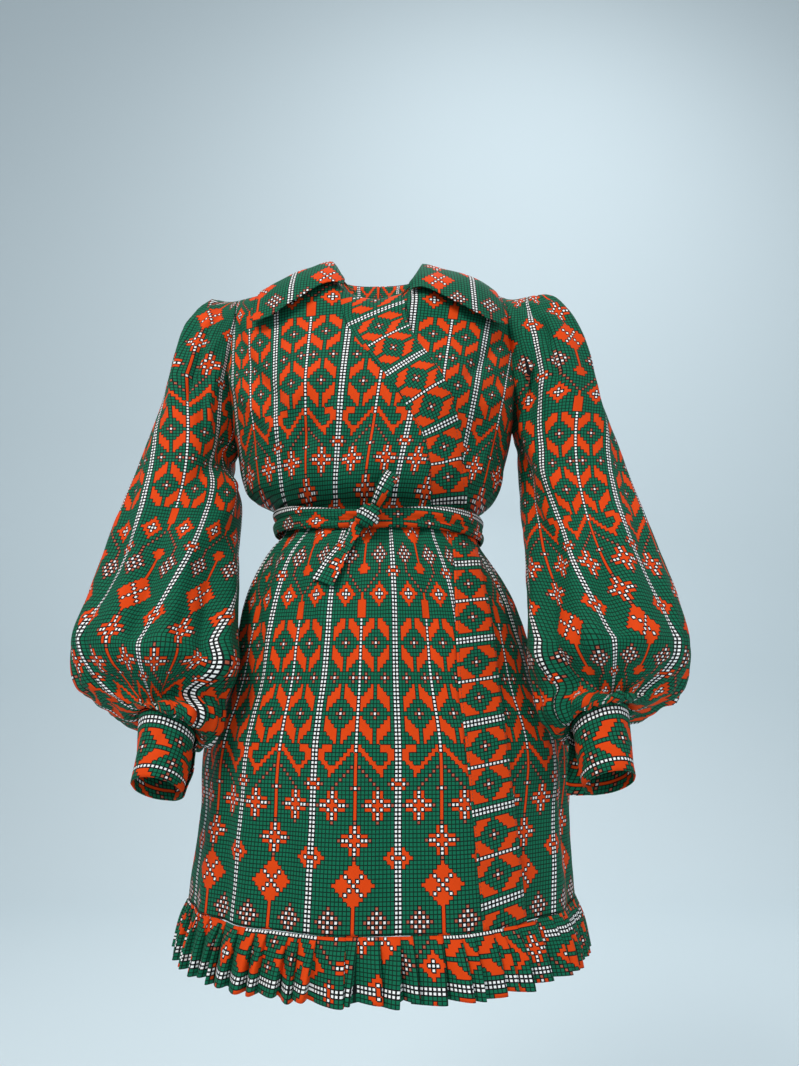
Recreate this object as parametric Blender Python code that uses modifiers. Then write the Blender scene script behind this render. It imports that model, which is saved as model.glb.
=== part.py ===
"""Wrap dress in printed cotton: shirt collar, full sleeves on cuffs, tied belt, pleated hem ruffle.

Metres, +Z up, the front faces -Y.  The origin lies midway between the shoulders, at the height
where the collar meets the neck.  Names say right and left as the wearer has them, so the
wearer's right lies at -X.  Every cloth piece is an open sheet with a Solidify wall.
"""

import math

import bmesh
import bpy
from mathutils import Vector

COLLECTION = "wrap_dress"

# Cloth and seams
WALL = 0.0014
RUFFLE_WALL = 0.0011
BELT_WALL = 0.0012
SEAM = 0.0004            # room between two pieces at a seam
SEAM_TURN = 0.14         # the same beside a wrap band, in degrees
SINK = 0.0026            # how far the covered front lies below the surface
ARMHOLE_SEAM = 0.0018    # room between the armhole and the sleeve head
LAP = 0.0030             # height of the front that lies over the other one

# Levels of the bodice
WAIST_Z = -0.351
CHEST_Z = -0.120
RIDGE_Y = 0.010          # the shoulder seam's place from front to back

# Bodice sections: height, half widths at the wearer's right and left, depths to front and back
BODICE = (
    (-0.351, 0.115, 0.112, 0.092, 0.080),
    (-0.338, 0.120, 0.115, 0.097, 0.084),
    (-0.3295, 0.138, 0.127, 0.112, 0.094),
    (-0.318, 0.161, 0.139, 0.121, 0.102),
    (-0.300, 0.171, 0.146, 0.126, 0.106),
    (-0.270, 0.180, 0.152, 0.128, 0.107),
    (-0.240, 0.188, 0.159, 0.130, 0.107),
    (-0.210, 0.197, 0.166, 0.129, 0.109),
    (-0.180, 0.204, 0.170, 0.122, 0.111),
    (-0.150, 0.207, 0.172, 0.112, 0.111),
    (-0.120, 0.208, 0.172, 0.100, 0.108),
)

# Shoulder line: distance from the centre, height as the front runs up to it, and the back
SHOULDER = (
    (0.000, -0.052, 0.030),
    (0.030, -0.040, 0.022),
    (0.050, -0.016, 0.006),
    (0.062, -0.007, -0.007),
    (0.090, -0.023, -0.023),
    (0.120, -0.035, -0.035),
    (0.150, -0.042, -0.042),
    (0.175, -0.045, -0.045),
    (0.210, -0.048, -0.048),
)

# Bust: place across, height, spread, how far it stands out
BUST = (
    (-0.086, -0.214, 0.052, 0.013),
    (0.072, -0.210, 0.050, 0.013),
)

# Armhole: share of the way from the underarm to the shoulder point, angle from the centre line
ARMHOLE = (
    (0.00, 89.7),
    (0.05, 80.0),
    (0.12, 72.5),
    (0.25, 67.0),
    (0.50, 65.0),
    (0.80, 67.5),
    (1.00, 74.0),
)
UNDERARM_RIGHT = 0.41    # levels of the underarm, 0 at the waist and 1 at the chest
UNDERARM_LEFT = 0.55
ROWS_BELOW_ARM = (0.0, 0.056, 0.092, 0.142, 0.215, 0.310)
ARMHOLE_STEPS = (0.0, 0.05, 0.12, 0.22, 0.35, 0.49, 0.64, 0.78, 0.90, 1.0)
OVER_NECK_ROWS = 4       # rows of the over front that end on the neckline
UNDER_NECK_ROWS = 6

# Neck opening
NECK_X = -0.009
NECK_HALF = 0.062
NECK_SIDE_Z = -0.007
NECK_FRONT_Z = -0.092
NECK_BACK_Z = -0.016
SEAM_NECK_ANGLE = -50.0  # where the band's seam meets the neckline
EDGE_NECK_ANGLE = 32.0   # where the band's free edge meets it
UNDER_NECK_ANGLE = -8.0  # where the under front's edge meets it

# Wrap lines on the bodice, from the waist up: place across and height
BAND_SEAM = ((0.056, -0.351), (0.053, -0.318), (0.048, -0.282), (0.033, -0.249), (0.010, -0.213),
             (-0.012, -0.181), (-0.034, -0.147), (-0.046, -0.118))
BAND_EDGE = ((0.098, -0.351), (0.096, -0.318), (0.089, -0.274), (0.078, -0.231), (0.062, -0.194),
             (0.045, -0.165), (0.032, -0.138), (0.028, -0.111))
UNDER_EDGE = ((-0.088, -0.351), (-0.070, -0.270), (-0.040, -0.190), (-0.020, -0.130))
BLOUSE_FOLDS = 11        # soft gathers of the blouse over the belt, in half a turn
BLOUSE_HEIGHT = 0.0012

# Skirt sections: height, half widths at the wearer's right and left, depths to front and back
SKIRT = (
    (-0.3530, 0.116, 0.111, 0.095, 0.081),
    (-0.372, 0.123, 0.112, 0.102, 0.087),
    (-0.385, 0.135, 0.117, 0.109, 0.096),
    (-0.402, 0.148, 0.129, 0.118, 0.107),
    (-0.425, 0.160, 0.144, 0.127, 0.118),
    (-0.455, 0.170, 0.159, 0.134, 0.127),
    (-0.495, 0.176, 0.171, 0.140, 0.134),
    (-0.545, 0.184, 0.184, 0.145, 0.139),
    (-0.610, 0.205, 0.212, 0.151, 0.145),
    (-0.690, 0.2065, 0.2105, 0.160, 0.153),
    (-0.778, 0.2135, 0.2130, 0.170, 0.163),
)
SKIRT_ROWS = (-0.3533, -0.372, -0.388, -0.408, -0.437, -0.482, -0.545, -0.620, -0.700, -0.7777)
SKIRT_SEAM = ((0.078, -0.3530), (0.078, -0.430), (0.078, -0.547), (0.083, -0.592), (0.088, -0.662),
              (0.096, -0.778))
SKIRT_EDGE = ((0.104, -0.3530), (0.112, -0.430), (0.120, -0.480), (0.125, -0.542), (0.131, -0.616),
              (0.137, -0.678), (0.144, -0.778))
UNDER_SKIRT_X = -0.040
GATHERS = 20             # small gathers round the waist
GATHER_HEIGHT = 0.0016
GATHER_END_Z = -0.455

# Hanging folds of the skirt: angle from the front, spread, height at the hem
SKIRT_FOLDS = (
    (-158.0, 10.0, 0.008),
    (-131.0, 8.0, 0.010),
    (-108.0, 7.0, 0.006),
    (-80.0, 9.0, 0.003),
    (-57.0, 6.0, 0.006),
    (-38.0, 7.0, 0.005),
    (-12.0, 9.0, 0.004),
    (22.0, 8.0, 0.005),
    (58.0, 7.0, 0.006),
    (83.0, 9.0, 0.005),
    (112.0, 8.0, 0.007),
    (140.0, 9.0, 0.010),
    (171.0, 8.0, 0.008),
)

# Hem ruffle: height, growth of the half width and of the depth, pleat height
RUFFLE = (
    (-0.7782, 0.0000, 0.0000, 0.0005),
    (-0.798, 0.0010, 0.0050, 0.0040),
    (-0.8300, 0.0010, 0.0125, 0.0054),
)
PLEATS = 75
PLEAT_SHAPE = ((0.0, -1.0), (0.36, 0.1), (0.74, 1.0))   # share of the pleat, height
RUFFLE_END = 46.0        # angle at which the over front's ruffle ends
UNDER_RUFFLE_START = 8.0
PRESSED = 0.2            # what the cloth beneath the over front keeps of its pleats

# Sleeve rings: outer point (across, height), inner point (across, height), place from front to
# back, half depth, forward tilt in degrees, gather height.  Mirrored for the other arm.
SLEEVE_RIGHT = (
    (0.222, -0.053, 0.1935, -0.279, -0.004, 0.062, 0.0, 0.0008),
    (0.244, -0.079, 0.190, -0.297, -0.006, 0.068, 0.0, 0.0014),
    (0.262, -0.123, 0.183, -0.311, -0.010, 0.072, 0.0, 0.0006),
    (0.274, -0.190, 0.177, -0.328, -0.016, 0.072, 2.0, 0.0),
    (0.288, -0.255, 0.171, -0.360, -0.026, 0.070, 5.0, 0.0),
    (0.303, -0.325, 0.169, -0.402, -0.046, 0.064, 9.0, 0.0),
    (0.315, -0.392, 0.165, -0.450, -0.069, 0.063, 14.0, 0.0),
    (0.326, -0.458, 0.160, -0.500, -0.092, 0.063, 20.0, 0.0008),
    (0.333, -0.503, 0.157, -0.545, -0.109, 0.063, 25.0, 0.0024),
    (0.324, -0.540, 0.161, -0.572, -0.116, 0.059, 28.0, 0.0034),
    (0.294, -0.566, 0.174, -0.594, -0.117, 0.050, 30.0, 0.0034),
    (0.266, -0.580, 0.184, -0.602, -0.116, 0.042, 31.0, 0.0022),
    (0.2540, -0.5810, 0.1945, -0.5930, -0.1140, 0.0350, 32.0, 0.0004),
)
SLEEVE_LEFT = (
    (0.192, -0.050, 0.1700, -0.240, -0.004, 0.062, 0.0, 0.0008),
    (0.222, -0.058, 0.1700, -0.258, -0.006, 0.069, 0.0, 0.0014),
    (0.250, -0.104, 0.1690, -0.283, -0.010, 0.073, 0.0, 0.0006),
    (0.268, -0.185, 0.1700, -0.315, -0.016, 0.073, 2.0, 0.0),
    (0.286, -0.254, 0.1700, -0.356, -0.026, 0.070, 5.0, 0.0),
    (0.305, -0.331, 0.1690, -0.397, -0.046, 0.064, 9.0, 0.0),
    (0.317, -0.400, 0.1660, -0.441, -0.069, 0.063, 14.0, 0.0),
    (0.326, -0.455, 0.1630, -0.492, -0.092, 0.063, 20.0, 0.0008),
    (0.331, -0.507, 0.1620, -0.537, -0.109, 0.063, 25.0, 0.0024),
    (0.322, -0.546, 0.1670, -0.569, -0.116, 0.059, 28.0, 0.0034),
    (0.297, -0.564, 0.1780, -0.588, -0.117, 0.050, 30.0, 0.0034),
    (0.272, -0.573, 0.1880, -0.596, -0.116, 0.042, 31.0, 0.0022),
    (0.2610, -0.5710, 0.2000, -0.5840, -0.1140, 0.0350, 32.0, 0.0004),
)
SLEEVE_GATHERS = 11
SLEEVE_COLUMNS = 44

# Troughs in a sleeve: ring, angle round from the top by way of the front, spread in rings and in
# degrees, turn of the trough in rings for each 90 degrees, depth
TROUGHS_RIGHT = (
    (1.5, 150.0, 0.8, 34.0, -1.0, 0.009),
    (3.2, 120.0, 0.7, 40.0, 1.2, 0.006),
    (5.4, 205.0, 0.9, 36.0, 0.8, 0.006),
    (7.2, 60.0, 0.9, 30.0, -1.4, 0.005),
    (4.6, 300.0, 0.9, 38.0, 1.0, 0.006),
)
TROUGHS_LEFT = (
    (1.6, 128.0, 0.7, 46.0, 0.9, 0.013),
    (3.6, 150.0, 0.8, 36.0, -1.0, 0.007),
    (6.2, 110.0, 0.9, 34.0, 1.2, 0.005),
    (5.2, 250.0, 0.9, 36.0, -0.9, 0.006),
    (2.8, 310.0, 0.9, 38.0, -1.0, 0.006),
)

# Cuffs: place across, front to back and height of each ring's centre, half width, rise of the
# outer side, half depth, forward tilt
CUFF_RIGHT = (
    (-0.2243, -0.1160, -0.5893, 0.0285, 0.0058, 0.0338, 32.0),
    (-0.2235, -0.1258, -0.6210, 0.0265, 0.0040, 0.0322, 30.0),
    (-0.2265, -0.1350, -0.6500, 0.0245, 0.0020, 0.0305, 28.0),
)
CUFF_LEFT = (
    (0.2305, -0.1160, -0.5803, 0.0290, 0.0062, 0.0338, 32.0),
    (0.2318, -0.1258, -0.6130, 0.0275, 0.0045, 0.0322, 30.0),
    (0.2335, -0.1350, -0.6440, 0.0255, 0.0030, 0.0305, 28.0),
)
CUFF_COLUMNS = 28
CUFF_LAP_TURN = 400.0    # degrees of cloth in a cuff, its lap included

# Collar: turn round the neck from the front, then the outer edge's place across, its height, and
# how far it stands off the bodice
COLLAR_EDGE = (
    (-26.0, -0.1560, -0.1120, 0.0120),
    (-50.0, -0.1555, -0.0880, 0.0080),
    (-72.0, -0.1530, -0.0620, 0.0060),
    (-90.0, -0.1440, -0.0410, 0.0050),
    (-112.0, -0.1230, -0.0480, 0.0050),
    (-140.0, -0.0800, -0.0540, 0.0050),
    (-180.0, -0.0090, -0.0560, 0.0050),
    (-220.0, 0.0620, -0.0540, 0.0050),
    (-248.0, 0.1100, -0.0460, 0.0050),
    (-270.0, 0.1330, -0.0400, 0.0050),
    (-288.0, 0.1400, -0.0600, 0.0060),
    (-312.0, 0.1430, -0.0870, 0.0085),
    (-338.0, 0.1440, -0.1110, 0.0130),
)
# Stand: turn either way from the front, height
STAND_HEIGHT = ((20.0, 0.0015), (60.0, 0.0035), (90.0, 0.0060), (130.0, 0.0200), (180.0, 0.0280))
STAND_ROOM = 0.0026      # between the neckline and the stand
COLLAR_START = 0.12      # where the wings' front ends start, as a share of their length
COLLAR_SAG = 0.026       # how far the wings' lower edges hang below a straight line
COLLAR_ARCH = 0.006      # how far the turned-down part arches off the shoulders
FOLD_ROOM = 0.0024       # between the stand and the turned-down part

# Belt: half widths, depths, height at the sides and at the front
BELT_RIGHT, BELT_LEFT, BELT_FRONT, BELT_BACK = 0.1330, 0.1207, 0.1140, 0.0990
BELT_RIGHT_Z, BELT_LEFT_Z, BELT_FRONT_Z = -0.3505, -0.3605, -0.3650
BELT_HEIGHT, BELT_HEIGHT_AT_KNOT = 0.030, 0.020
BELT_PROFILE = ((0.0, 0.0000), (0.22, 0.0026), (0.46, 0.0006), (0.74, 0.0030), (1.0, 0.0002))
KNOT_ANGLE, KNOT_SPREAD = -6.0, 42.0     # where the belt narrows towards its knot
KNOT = Vector((-0.0140, -0.1270, -0.3650))
KNOT_SIZE = (0.0135, 0.0112, 0.0125)
# Bow's loop: distance out from its start, place to front and back, width
LOOP_START = 0.0138
LOOP_ALONG, LOOP_ACROSS = Vector((0.50, 0.0, 0.866)), Vector((0.866, 0.0, -0.50))
LOOP_PATH = ((0.0000, -0.0030, 0.010), (0.0120, -0.0129, 0.013), (0.0260, -0.0153, 0.016),
             (0.0360, -0.0125, 0.017), (0.0395, -0.0083, 0.017), (0.0360, -0.0051, 0.017),
             (0.0260, -0.0037, 0.016), (0.0120, -0.0025, 0.013), (0.0000, 0.0022, 0.010))
# Free end: place across, height, width
TAIL_ACROSS = Vector((0.90, 0.0, -0.36))
TAIL_PATH = ((-0.024, -0.378, 0.010), (-0.032, -0.392, 0.014), (-0.041, -0.408, 0.019),
             (-0.051, -0.424, 0.024), (-0.060, -0.441, 0.028))

COLOURS = {
    "green": (0.02, 0.22, 0.12, 1.0),
    "deep_green": (0.015, 0.17, 0.09, 1.0),
    "orange_green": (0.10, 0.20, 0.08, 1.0),
}


# ---- small tools -----------------------------------------------------------------------------

def lerp(a, b, share):
    return a + (b - a) * share


def smooth(value):
    value = min(max(value, 0.0), 1.0)
    return value * value * (3.0 - 2.0 * value)


def read(table, at):
    """The other columns of a table, where its first column is at, along a smooth curve."""
    rows = sorted(table)
    at = min(max(at, rows[0][0]), rows[-1][0])
    last = len(rows) - 1
    low = max(i for i in range(last) if rows[i][0] <= at)
    gap = rows[low + 1][0] - rows[low][0]
    share = (at - rows[low][0]) / gap
    values = []
    for column in range(1, len(rows[0])):
        slopes = []
        for i in (low, low + 1):
            before, after = rows[max(i - 1, 0)], rows[min(i + 1, last)]
            slopes.append((after[column] - before[column]) / (after[0] - before[0]) * gap)
        start, end = rows[low][column], rows[low + 1][column]
        s2, s3 = share ** 2, share ** 3
        values.append(start * (2 * s3 - 3 * s2 + 1) + slopes[0] * (s3 - 2 * s2 + share)
                      + end * (3 * s2 - 2 * s3) + slopes[1] * (s3 - s2))
    return values


def bump(distance, spread):
    return math.exp(-(distance / spread) ** 2)


def moved_out(surface, u, v, height):
    """A point of a surface, moved off it along its outward normal."""
    step = 0.002
    along_u = surface(u + 40 * step, v) - surface(u - 40 * step, v)
    along_v = surface(u, v + step) - surface(u, v - step)
    return surface(u, v) + along_u.cross(along_v).normalized() * height


def cloth_material(name, colour):
    material = bpy.data.materials.new(name)
    material.use_nodes = True
    shader = material.node_tree.nodes["Principled BSDF"]
    shader.inputs["Base Color"].default_value = COLOURS[colour]
    shader.inputs["Roughness"].default_value = 0.78
    shader.inputs["Metallic"].default_value = 0.0
    return material


def add_object(name, mesh, colour):
    mesh.materials.append(cloth_material(name, colour))
    piece = bpy.data.objects.new(name, mesh)
    bpy.data.collections[COLLECTION].objects.link(piece)
    mesh.shade_smooth()
    return piece


def sheet(name, rows, wall, colour="green", ring=False):
    """A cloth piece from rows of points, its wall growing outwards from them."""
    columns = len(rows[0])
    points = [tuple(point) for row in rows for point in row]
    faces = []
    for r in range(len(rows) - 1):
        for c in range(columns if ring else columns - 1):
            right = (c + 1) % columns
            faces.append((r * columns + c, r * columns + right,
                          (r + 1) * columns + right, (r + 1) * columns + c))
    mesh = bpy.data.meshes.new(name)
    mesh.from_pydata(points, [], faces)
    piece = add_object(name, mesh, colour)
    solid = piece.modifiers.new("wall", "SOLIDIFY")
    solid.thickness = wall
    solid.offset = 1.0
    return piece


def patch(left, right, bottom, top):
    """A grid between four border lines of (angle, level) pairs; the top line shapes only the
    rows near it, so that the lower rows stay level."""
    rows = []
    for r, (a, b) in enumerate(zip(left, right)):
        v = (r / (len(left) - 1)) ** 4
        row = []
        for c, (low, high) in enumerate(zip(bottom, top)):
            u = c / (len(bottom) - 1)
            row.append(tuple(
                lerp(a[i], b[i], u) + lerp(low[i], high[i], v)
                - lerp(lerp(left[0][i], right[0][i], u), lerp(left[-1][i], right[-1][i], u), v)
                for i in (0, 1)))
        rows.append(row)
    return rows


# ---- bodice ----------------------------------------------------------------------------------

def bodice_sizes(angle, level):
    z = lerp(WAIST_Z, CHEST_Z, min(max(level, 0.0), 1.0))
    right, left, front, back = read(BODICE, z)
    return z, (right if angle < 0 else left), front, back


def bodice_point(angle, level, is_front, gathered=1.0):
    """Level 0 is the waist, 1 the chest and 2 the shoulder seam; angle 0 is the centre line."""
    z, half, front, back = bodice_sizes(angle, level)
    across = math.radians(min(max(angle, -90.0), 90.0))
    folds = BLOUSE_HEIGHT * (1.0 + math.cos(math.radians(angle * BLOUSE_FOLDS * 2)))
    folds *= gathered * smooth((-0.262 - z) / 0.045) * smooth((z + 0.345) / 0.018)
    x = (half + folds) * math.sin(across)
    depth = ((front if is_front else back) + folds) * math.cos(across)
    if is_front:
        for bust_x, bust_z, spread, height in BUST:
            depth += height * bump(math.hypot(x - bust_x, z - bust_z), spread)
    if level > 1.0:
        turn = math.radians(90.0 * (min(level, 2.0) - 1.0))
        z = lerp(CHEST_Z, shoulder_height(x, is_front), math.sin(turn))
        fullness = 1.0 + 0.8 * (1.0 - smooth(abs(x) / 0.12))
        ridge_y = RIDGE_Y if is_front else -RIDGE_Y
        depth = -ridge_y + (depth + ridge_y) * max(math.cos(turn), 0.0) ** fullness
    return Vector((x, -depth if is_front else depth, z))


def shoulder_height(x, is_front):
    nearness = 1.0 - smooth((abs(x) - 0.060) / 0.060)
    return read(SHOULDER, abs(x - NECK_X * nearness))[0 if is_front else 1]


def front_point(angle, level):
    return bodice_point(angle, level, True) + Vector((0, -SEAM / 2, 0))


def smooth_front_point(angle, level):
    gathered = smooth((angle - 45.0) / 12.0)
    return bodice_point(angle, level, True, gathered) + Vector((0, -SEAM / 2, 0))


def under_point(angle, level):
    """The under front lies smooth and a little lower beneath the over one."""
    x = smooth_front_point(angle, level).x
    sunk = SINK * (1.0 - smooth((x - 0.050) / 0.060)) * (1.0 - smooth((level - 1.45) / 0.35))
    return moved_out(smooth_front_point, angle, level, -sunk)


def back_point(angle, level):
    return bodice_point(-angle, level, False) + Vector((0, SEAM / 2, 0))


def place(x, z, is_front=True):
    """The (angle, level) pair of a place seen from the front."""
    if z <= CHEST_Z:
        level = (z - WAIST_Z) / (CHEST_Z - WAIST_Z)
    else:
        ridge = shoulder_height(x, is_front)
        level = 1.0 + math.degrees(math.asin(min((z - CHEST_Z) / (ridge - CHEST_Z), 1.0))) / 90.0
    half = bodice_sizes(x, level)[1]
    return math.degrees(math.asin(max(min(x / half, 1.0), -1.0))), level


def side_border(underarm, side):
    """Side seam and armhole, from the waist to the shoulder point; side is -1 or 1."""
    border = [(89.8 * side, level) for level in ROWS_BELOW_ARM]
    for share in ARMHOLE_STEPS:
        border.append((read(ARMHOLE, share)[0] * side, lerp(underarm, 2.0, share)))
    return border


def neck_place(angle, is_front=True):
    """A place on the neckline; the angle runs from -90 to 90 about the front or back centre."""
    turn = math.radians(angle)
    x = NECK_X + NECK_HALF * math.sin(turn)
    low = NECK_FRONT_Z if is_front else NECK_BACK_Z
    z = NECK_SIDE_Z + (low - NECK_SIDE_Z) * math.cos(turn)
    across, level = place(x, z, is_front)
    return across, 2.0 if abs(angle) > 88.0 else level


def line_border(line, neck_angles, rows_left):
    """A wrap line from the waist to the neckline, then places along the neckline."""
    by_height = [(z, x) for x, z in line]
    border = []
    for level in ROWS_BELOW_ARM:
        z = lerp(WAIST_Z, CHEST_Z, level)
        border.append(place(read(by_height, z)[0], z))
    start = lerp(WAIST_Z, CHEST_Z, ROWS_BELOW_ARM[-1])
    for i in range(rows_left):
        z = lerp(start, line[-1][1], (i + 1) / rows_left)
        border.append(place(read(by_height, z)[0], z))
    return border + [neck_place(angle) for angle in neck_angles]


def level_line(start, end, count, level):
    return [(lerp(start, end, i / count), level) for i in range(count + 1)]


def over_lift(point, level):
    """The over front rises over the under one, and meets the side and shoulder seams level."""
    return LAP * smooth((point.x + 0.130) / 0.030) * (1.0 - smooth((level - 1.45) / 0.35))


def over_point(angle, level):
    return moved_out(front_point, angle, level, over_lift(front_point(angle, level), level))


def pulled_in(border, amount):
    """A border moved sideways by a seam's room, in degrees."""
    return [(angle + amount, level) for angle, level in border]


def make_fronts():
    over_rows = len(ARMHOLE_STEPS) - OVER_NECK_ROWS

    left = side_border(UNDERARM_RIGHT, -1)
    neck = [lerp(SEAM_NECK_ANGLE, -89.0, i / (OVER_NECK_ROWS - 1)) for i in range(OVER_NECK_ROWS)]
    right = pulled_in(line_border(BAND_SEAM, neck, over_rows), -SEAM_TURN)
    top = level_line(left[-1][0], right[-1][0], 13, 2.0)
    bottom = level_line(left[0][0], right[0][0], 13, 0.0)
    rows = [[over_point(*at) for at in row] for row in patch(left, right, bottom, top)]
    sheet("bodice_front_right", rows, WALL)

    left = pulled_in(line_border(BAND_SEAM, [SEAM_NECK_ANGLE], over_rows), SEAM_TURN)
    right = line_border(BAND_EDGE, [EDGE_NECK_ANGLE], over_rows)
    top = [neck_place(lerp(SEAM_NECK_ANGLE, EDGE_NECK_ANGLE, i / 6)) for i in range(7)]
    top[0] = left[-1]
    bottom = level_line(left[0][0], right[0][0], 6, 0.0)
    rows = [[over_point(*at) for at in row] for row in patch(left, right, bottom, top)]
    sheet("bodice_band", rows, WALL, "orange_green")

    neck = [lerp(UNDER_NECK_ANGLE, 89.0, i / (UNDER_NECK_ROWS - 1))
            for i in range(UNDER_NECK_ROWS)]
    left = line_border(UNDER_EDGE, neck, len(ARMHOLE_STEPS) - UNDER_NECK_ROWS)
    right = side_border(UNDERARM_LEFT, 1)
    top = level_line(left[-1][0], right[-1][0], 13, 2.0)
    bottom = level_line(left[0][0], right[0][0], 13, 0.0)
    rows = [[under_point(*at) for at in row] for row in patch(left, right, bottom, top)]
    sheet("bodice_front_left", rows, WALL)


def make_back():
    """Angles of the back run from the wearer's left to the wearer's right."""
    left = side_border(UNDERARM_LEFT, -1)
    right = side_border(UNDERARM_RIGHT, 1)
    neck = [(-angle, level) for angle, level in
            (neck_place(lerp(89.0, -89.0, i / 7), False) for i in range(8))]
    top = level_line(left[-1][0], neck[0][0], 4, 2.0)[:-1] + neck
    top += level_line(neck[-1][0], right[-1][0], 5, 2.0)[1:]
    bottom = level_line(left[0][0], right[0][0], len(top) - 1, 0.0)
    rows = [[back_point(*at) for at in row] for row in patch(left, right, bottom, top)]
    sheet("bodice_back", rows, WALL)


# ---- sleeves and cuffs -----------------------------------------------------------------------

def armhole_point(side, turn):
    """The armhole at a turn of 0 to 360 degrees, from the shoulder point by way of the front."""
    underarm = UNDERARM_RIGHT if side < 0 else UNDERARM_LEFT
    in_front = turn <= 180.0
    from_top = turn if in_front else 360.0 - turn
    if from_top < 90.0:
        share = 1.0 - 0.5 * (from_top / 90.0) ** 1.4
    else:
        share = 0.5 + 0.5 * math.cos(math.radians(from_top))
    angle, level = read(ARMHOLE, share)[0] * side, lerp(underarm, 2.0, share)
    point = bodice_point(angle, level, in_front)
    return point + Vector((side * ARMHOLE_SEAM, 0, -ARMHOLE_SEAM * 0.4 * (1.0 - share)))


def sleeve_ring(rings, at):
    low = min(int(at), len(rings) - 2)
    table = [(i,) + rings[i] for i in range(max(low - 1, 0), min(low + 3, len(rings)))]
    return read(table, at)


def sleeve_point(side, rings, troughs, at, turn):
    """A point of the sleeve: at counts the rings from the head, 0 lying on the armhole."""
    outer_x, outer_z, inner_x, inner_z, y, depth, tilt, gather = sleeve_ring(rings, max(at - 1, 0))
    angle = math.radians(turn)
    outer = Vector((side * outer_x, 0, outer_z))
    inner = Vector((side * inner_x, 0, inner_z))
    centre = (outer + inner) / 2 + Vector((0, y, 0))
    reach = (outer - inner) / 2
    forward = Vector((0, -math.cos(math.radians(tilt)), math.sin(math.radians(tilt))))
    hollow = sum(
        deep * bump(at - ring - lean * (turn - place_turn) / 90.0, ring_spread)
        * bump((turn - place_turn + 180.0) % 360.0 - 180.0, turn_spread * 1.6)
        for ring, place_turn, ring_spread, turn_spread, lean, deep in troughs)
    wave = gather * math.cos(angle * SLEEVE_GATHERS + 0.6)
    spoke = reach * math.cos(angle) + forward * depth * math.sin(angle)
    point = centre + spoke * (1.0 + (wave - hollow) / spoke.length)
    if at < 1.0:
        point = armhole_point(side, turn).lerp(point, at)
    return point


def make_sleeve(name, side, rings, troughs):
    steps = range(len(rings) + 1)
    turns = [360.0 * i / SLEEVE_COLUMNS for i in range(SLEEVE_COLUMNS)]
    if side > 0:
        turns.reverse()
    rows = [[sleeve_point(side, rings, troughs, at, turn) for turn in turns] for at in steps]
    sheet(name, rows, WALL, "green", ring=True)


def make_cuff(name, rings, side, flare):
    """A strip round the wrist whose end laps over its start and stands off by the flare."""
    rows = []
    for down, (ring_x, ring_y, ring_z, half, rise, depth, tilt) in enumerate(rings):
        forward = Vector((0, -math.cos(math.radians(tilt)), math.sin(math.radians(tilt))))
        row = []
        for i in range(CUFF_COLUMNS + 1):
            share = i / CUFF_COLUMNS
            turn = math.radians(-62.0 + CUFF_LAP_TURN * share)
            lapped = smooth((share - 0.84) / 0.06)
            out = 0.0026 * lapped + flare * smooth((share - 0.90) / 0.12) * down / 2
            row.append(Vector((ring_x, ring_y, ring_z))
                       - Vector((side, 0, rise / half)) * (half + out) * math.cos(turn)
                       + forward * (depth + out) * math.sin(turn))
        rows.append(row if side > 0 else row[::-1])
    sheet(name, rows[::-1], WALL, "orange_green")


# ---- skirt and hem ruffle --------------------------------------------------------------------

def skirt_point(angle, z, gathered=1.0):
    """Angle 0 is the front centre, 90 the wearer's left side."""
    right, left, front, back = read(SKIRT, z)
    turn = math.radians(angle)
    x = (right if math.sin(turn) < 0 else left) * math.sin(turn)
    depth = front if math.cos(turn) > 0 else back
    point = Vector((x, -depth * math.cos(turn), z))
    grown = smooth((-0.40 - z) / 0.36)
    out = sum(height * bump((angle - fold + 180.0) % 360.0 - 180.0, spread)
              for fold, spread, height in SKIRT_FOLDS) * grown
    fade = 1.0 - smooth((-0.372 - z) / (-0.372 - GATHER_END_Z))
    out += GATHER_HEIGHT * (1.0 + math.cos(math.radians(angle * GATHERS))) * fade * gathered
    outward = Vector((point.x, point.y, 0)).normalized()
    return point + outward * out


def smooth_skirt_point(angle, z):
    return skirt_point(angle, z, smooth((angle - 66.0) / 12.0))


def under_skirt_point(angle, z):
    """The under front lies smooth and a little lower beneath the over one."""
    return moved_out(smooth_skirt_point, angle, z, -SINK * (1.0 - smooth((angle - 50.0) / 14.0)))


def skirt_angle(x, z):
    right, left = read(SKIRT, z)[:2]
    return math.degrees(math.asin(x / (right if x < 0 else left)))


def line_angle(line, z):
    """The angle at which a wrap line crosses a height of the skirt."""
    x = read([(point_z, point_x) for point_x, point_z in line], z)[0]
    return skirt_angle(x, z)


def skirt_lift(angle):
    return LAP * smooth((angle + 55.0) / 22.0)


def over_skirt_point(angle, z):
    return moved_out(skirt_point, angle, z, skirt_lift(angle))


def skirt_rows(start, end, count, surface):
    rows = []
    for z in SKIRT_ROWS[::-1]:
        first, last = start(z), end(z)
        rows.append([surface(lerp(first, last, i / count), z) for i in range(count + 1)])
    return rows


def make_skirt():
    side = 89.85
    seam_turn = 0.22
    sheet("skirt_front_right",
          skirt_rows(lambda z: -side, lambda z: line_angle(SKIRT_SEAM, z) - seam_turn, 26,
                     over_skirt_point), WALL)
    sheet("skirt_band",
          skirt_rows(lambda z: line_angle(SKIRT_SEAM, z) + seam_turn,
                     lambda z: line_angle(SKIRT_EDGE, z), 4, over_skirt_point),
          WALL, "orange_green")
    sheet("skirt_front_left",
          skirt_rows(lambda z: skirt_angle(UNDER_SKIRT_X, z), lambda z: side, 20,
                     under_skirt_point), WALL)
    sheet("skirt_back",
          skirt_rows(lambda z: 180.0 - side, lambda z: 180.0 + side, 34,
                     skirt_point), WALL)


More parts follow.
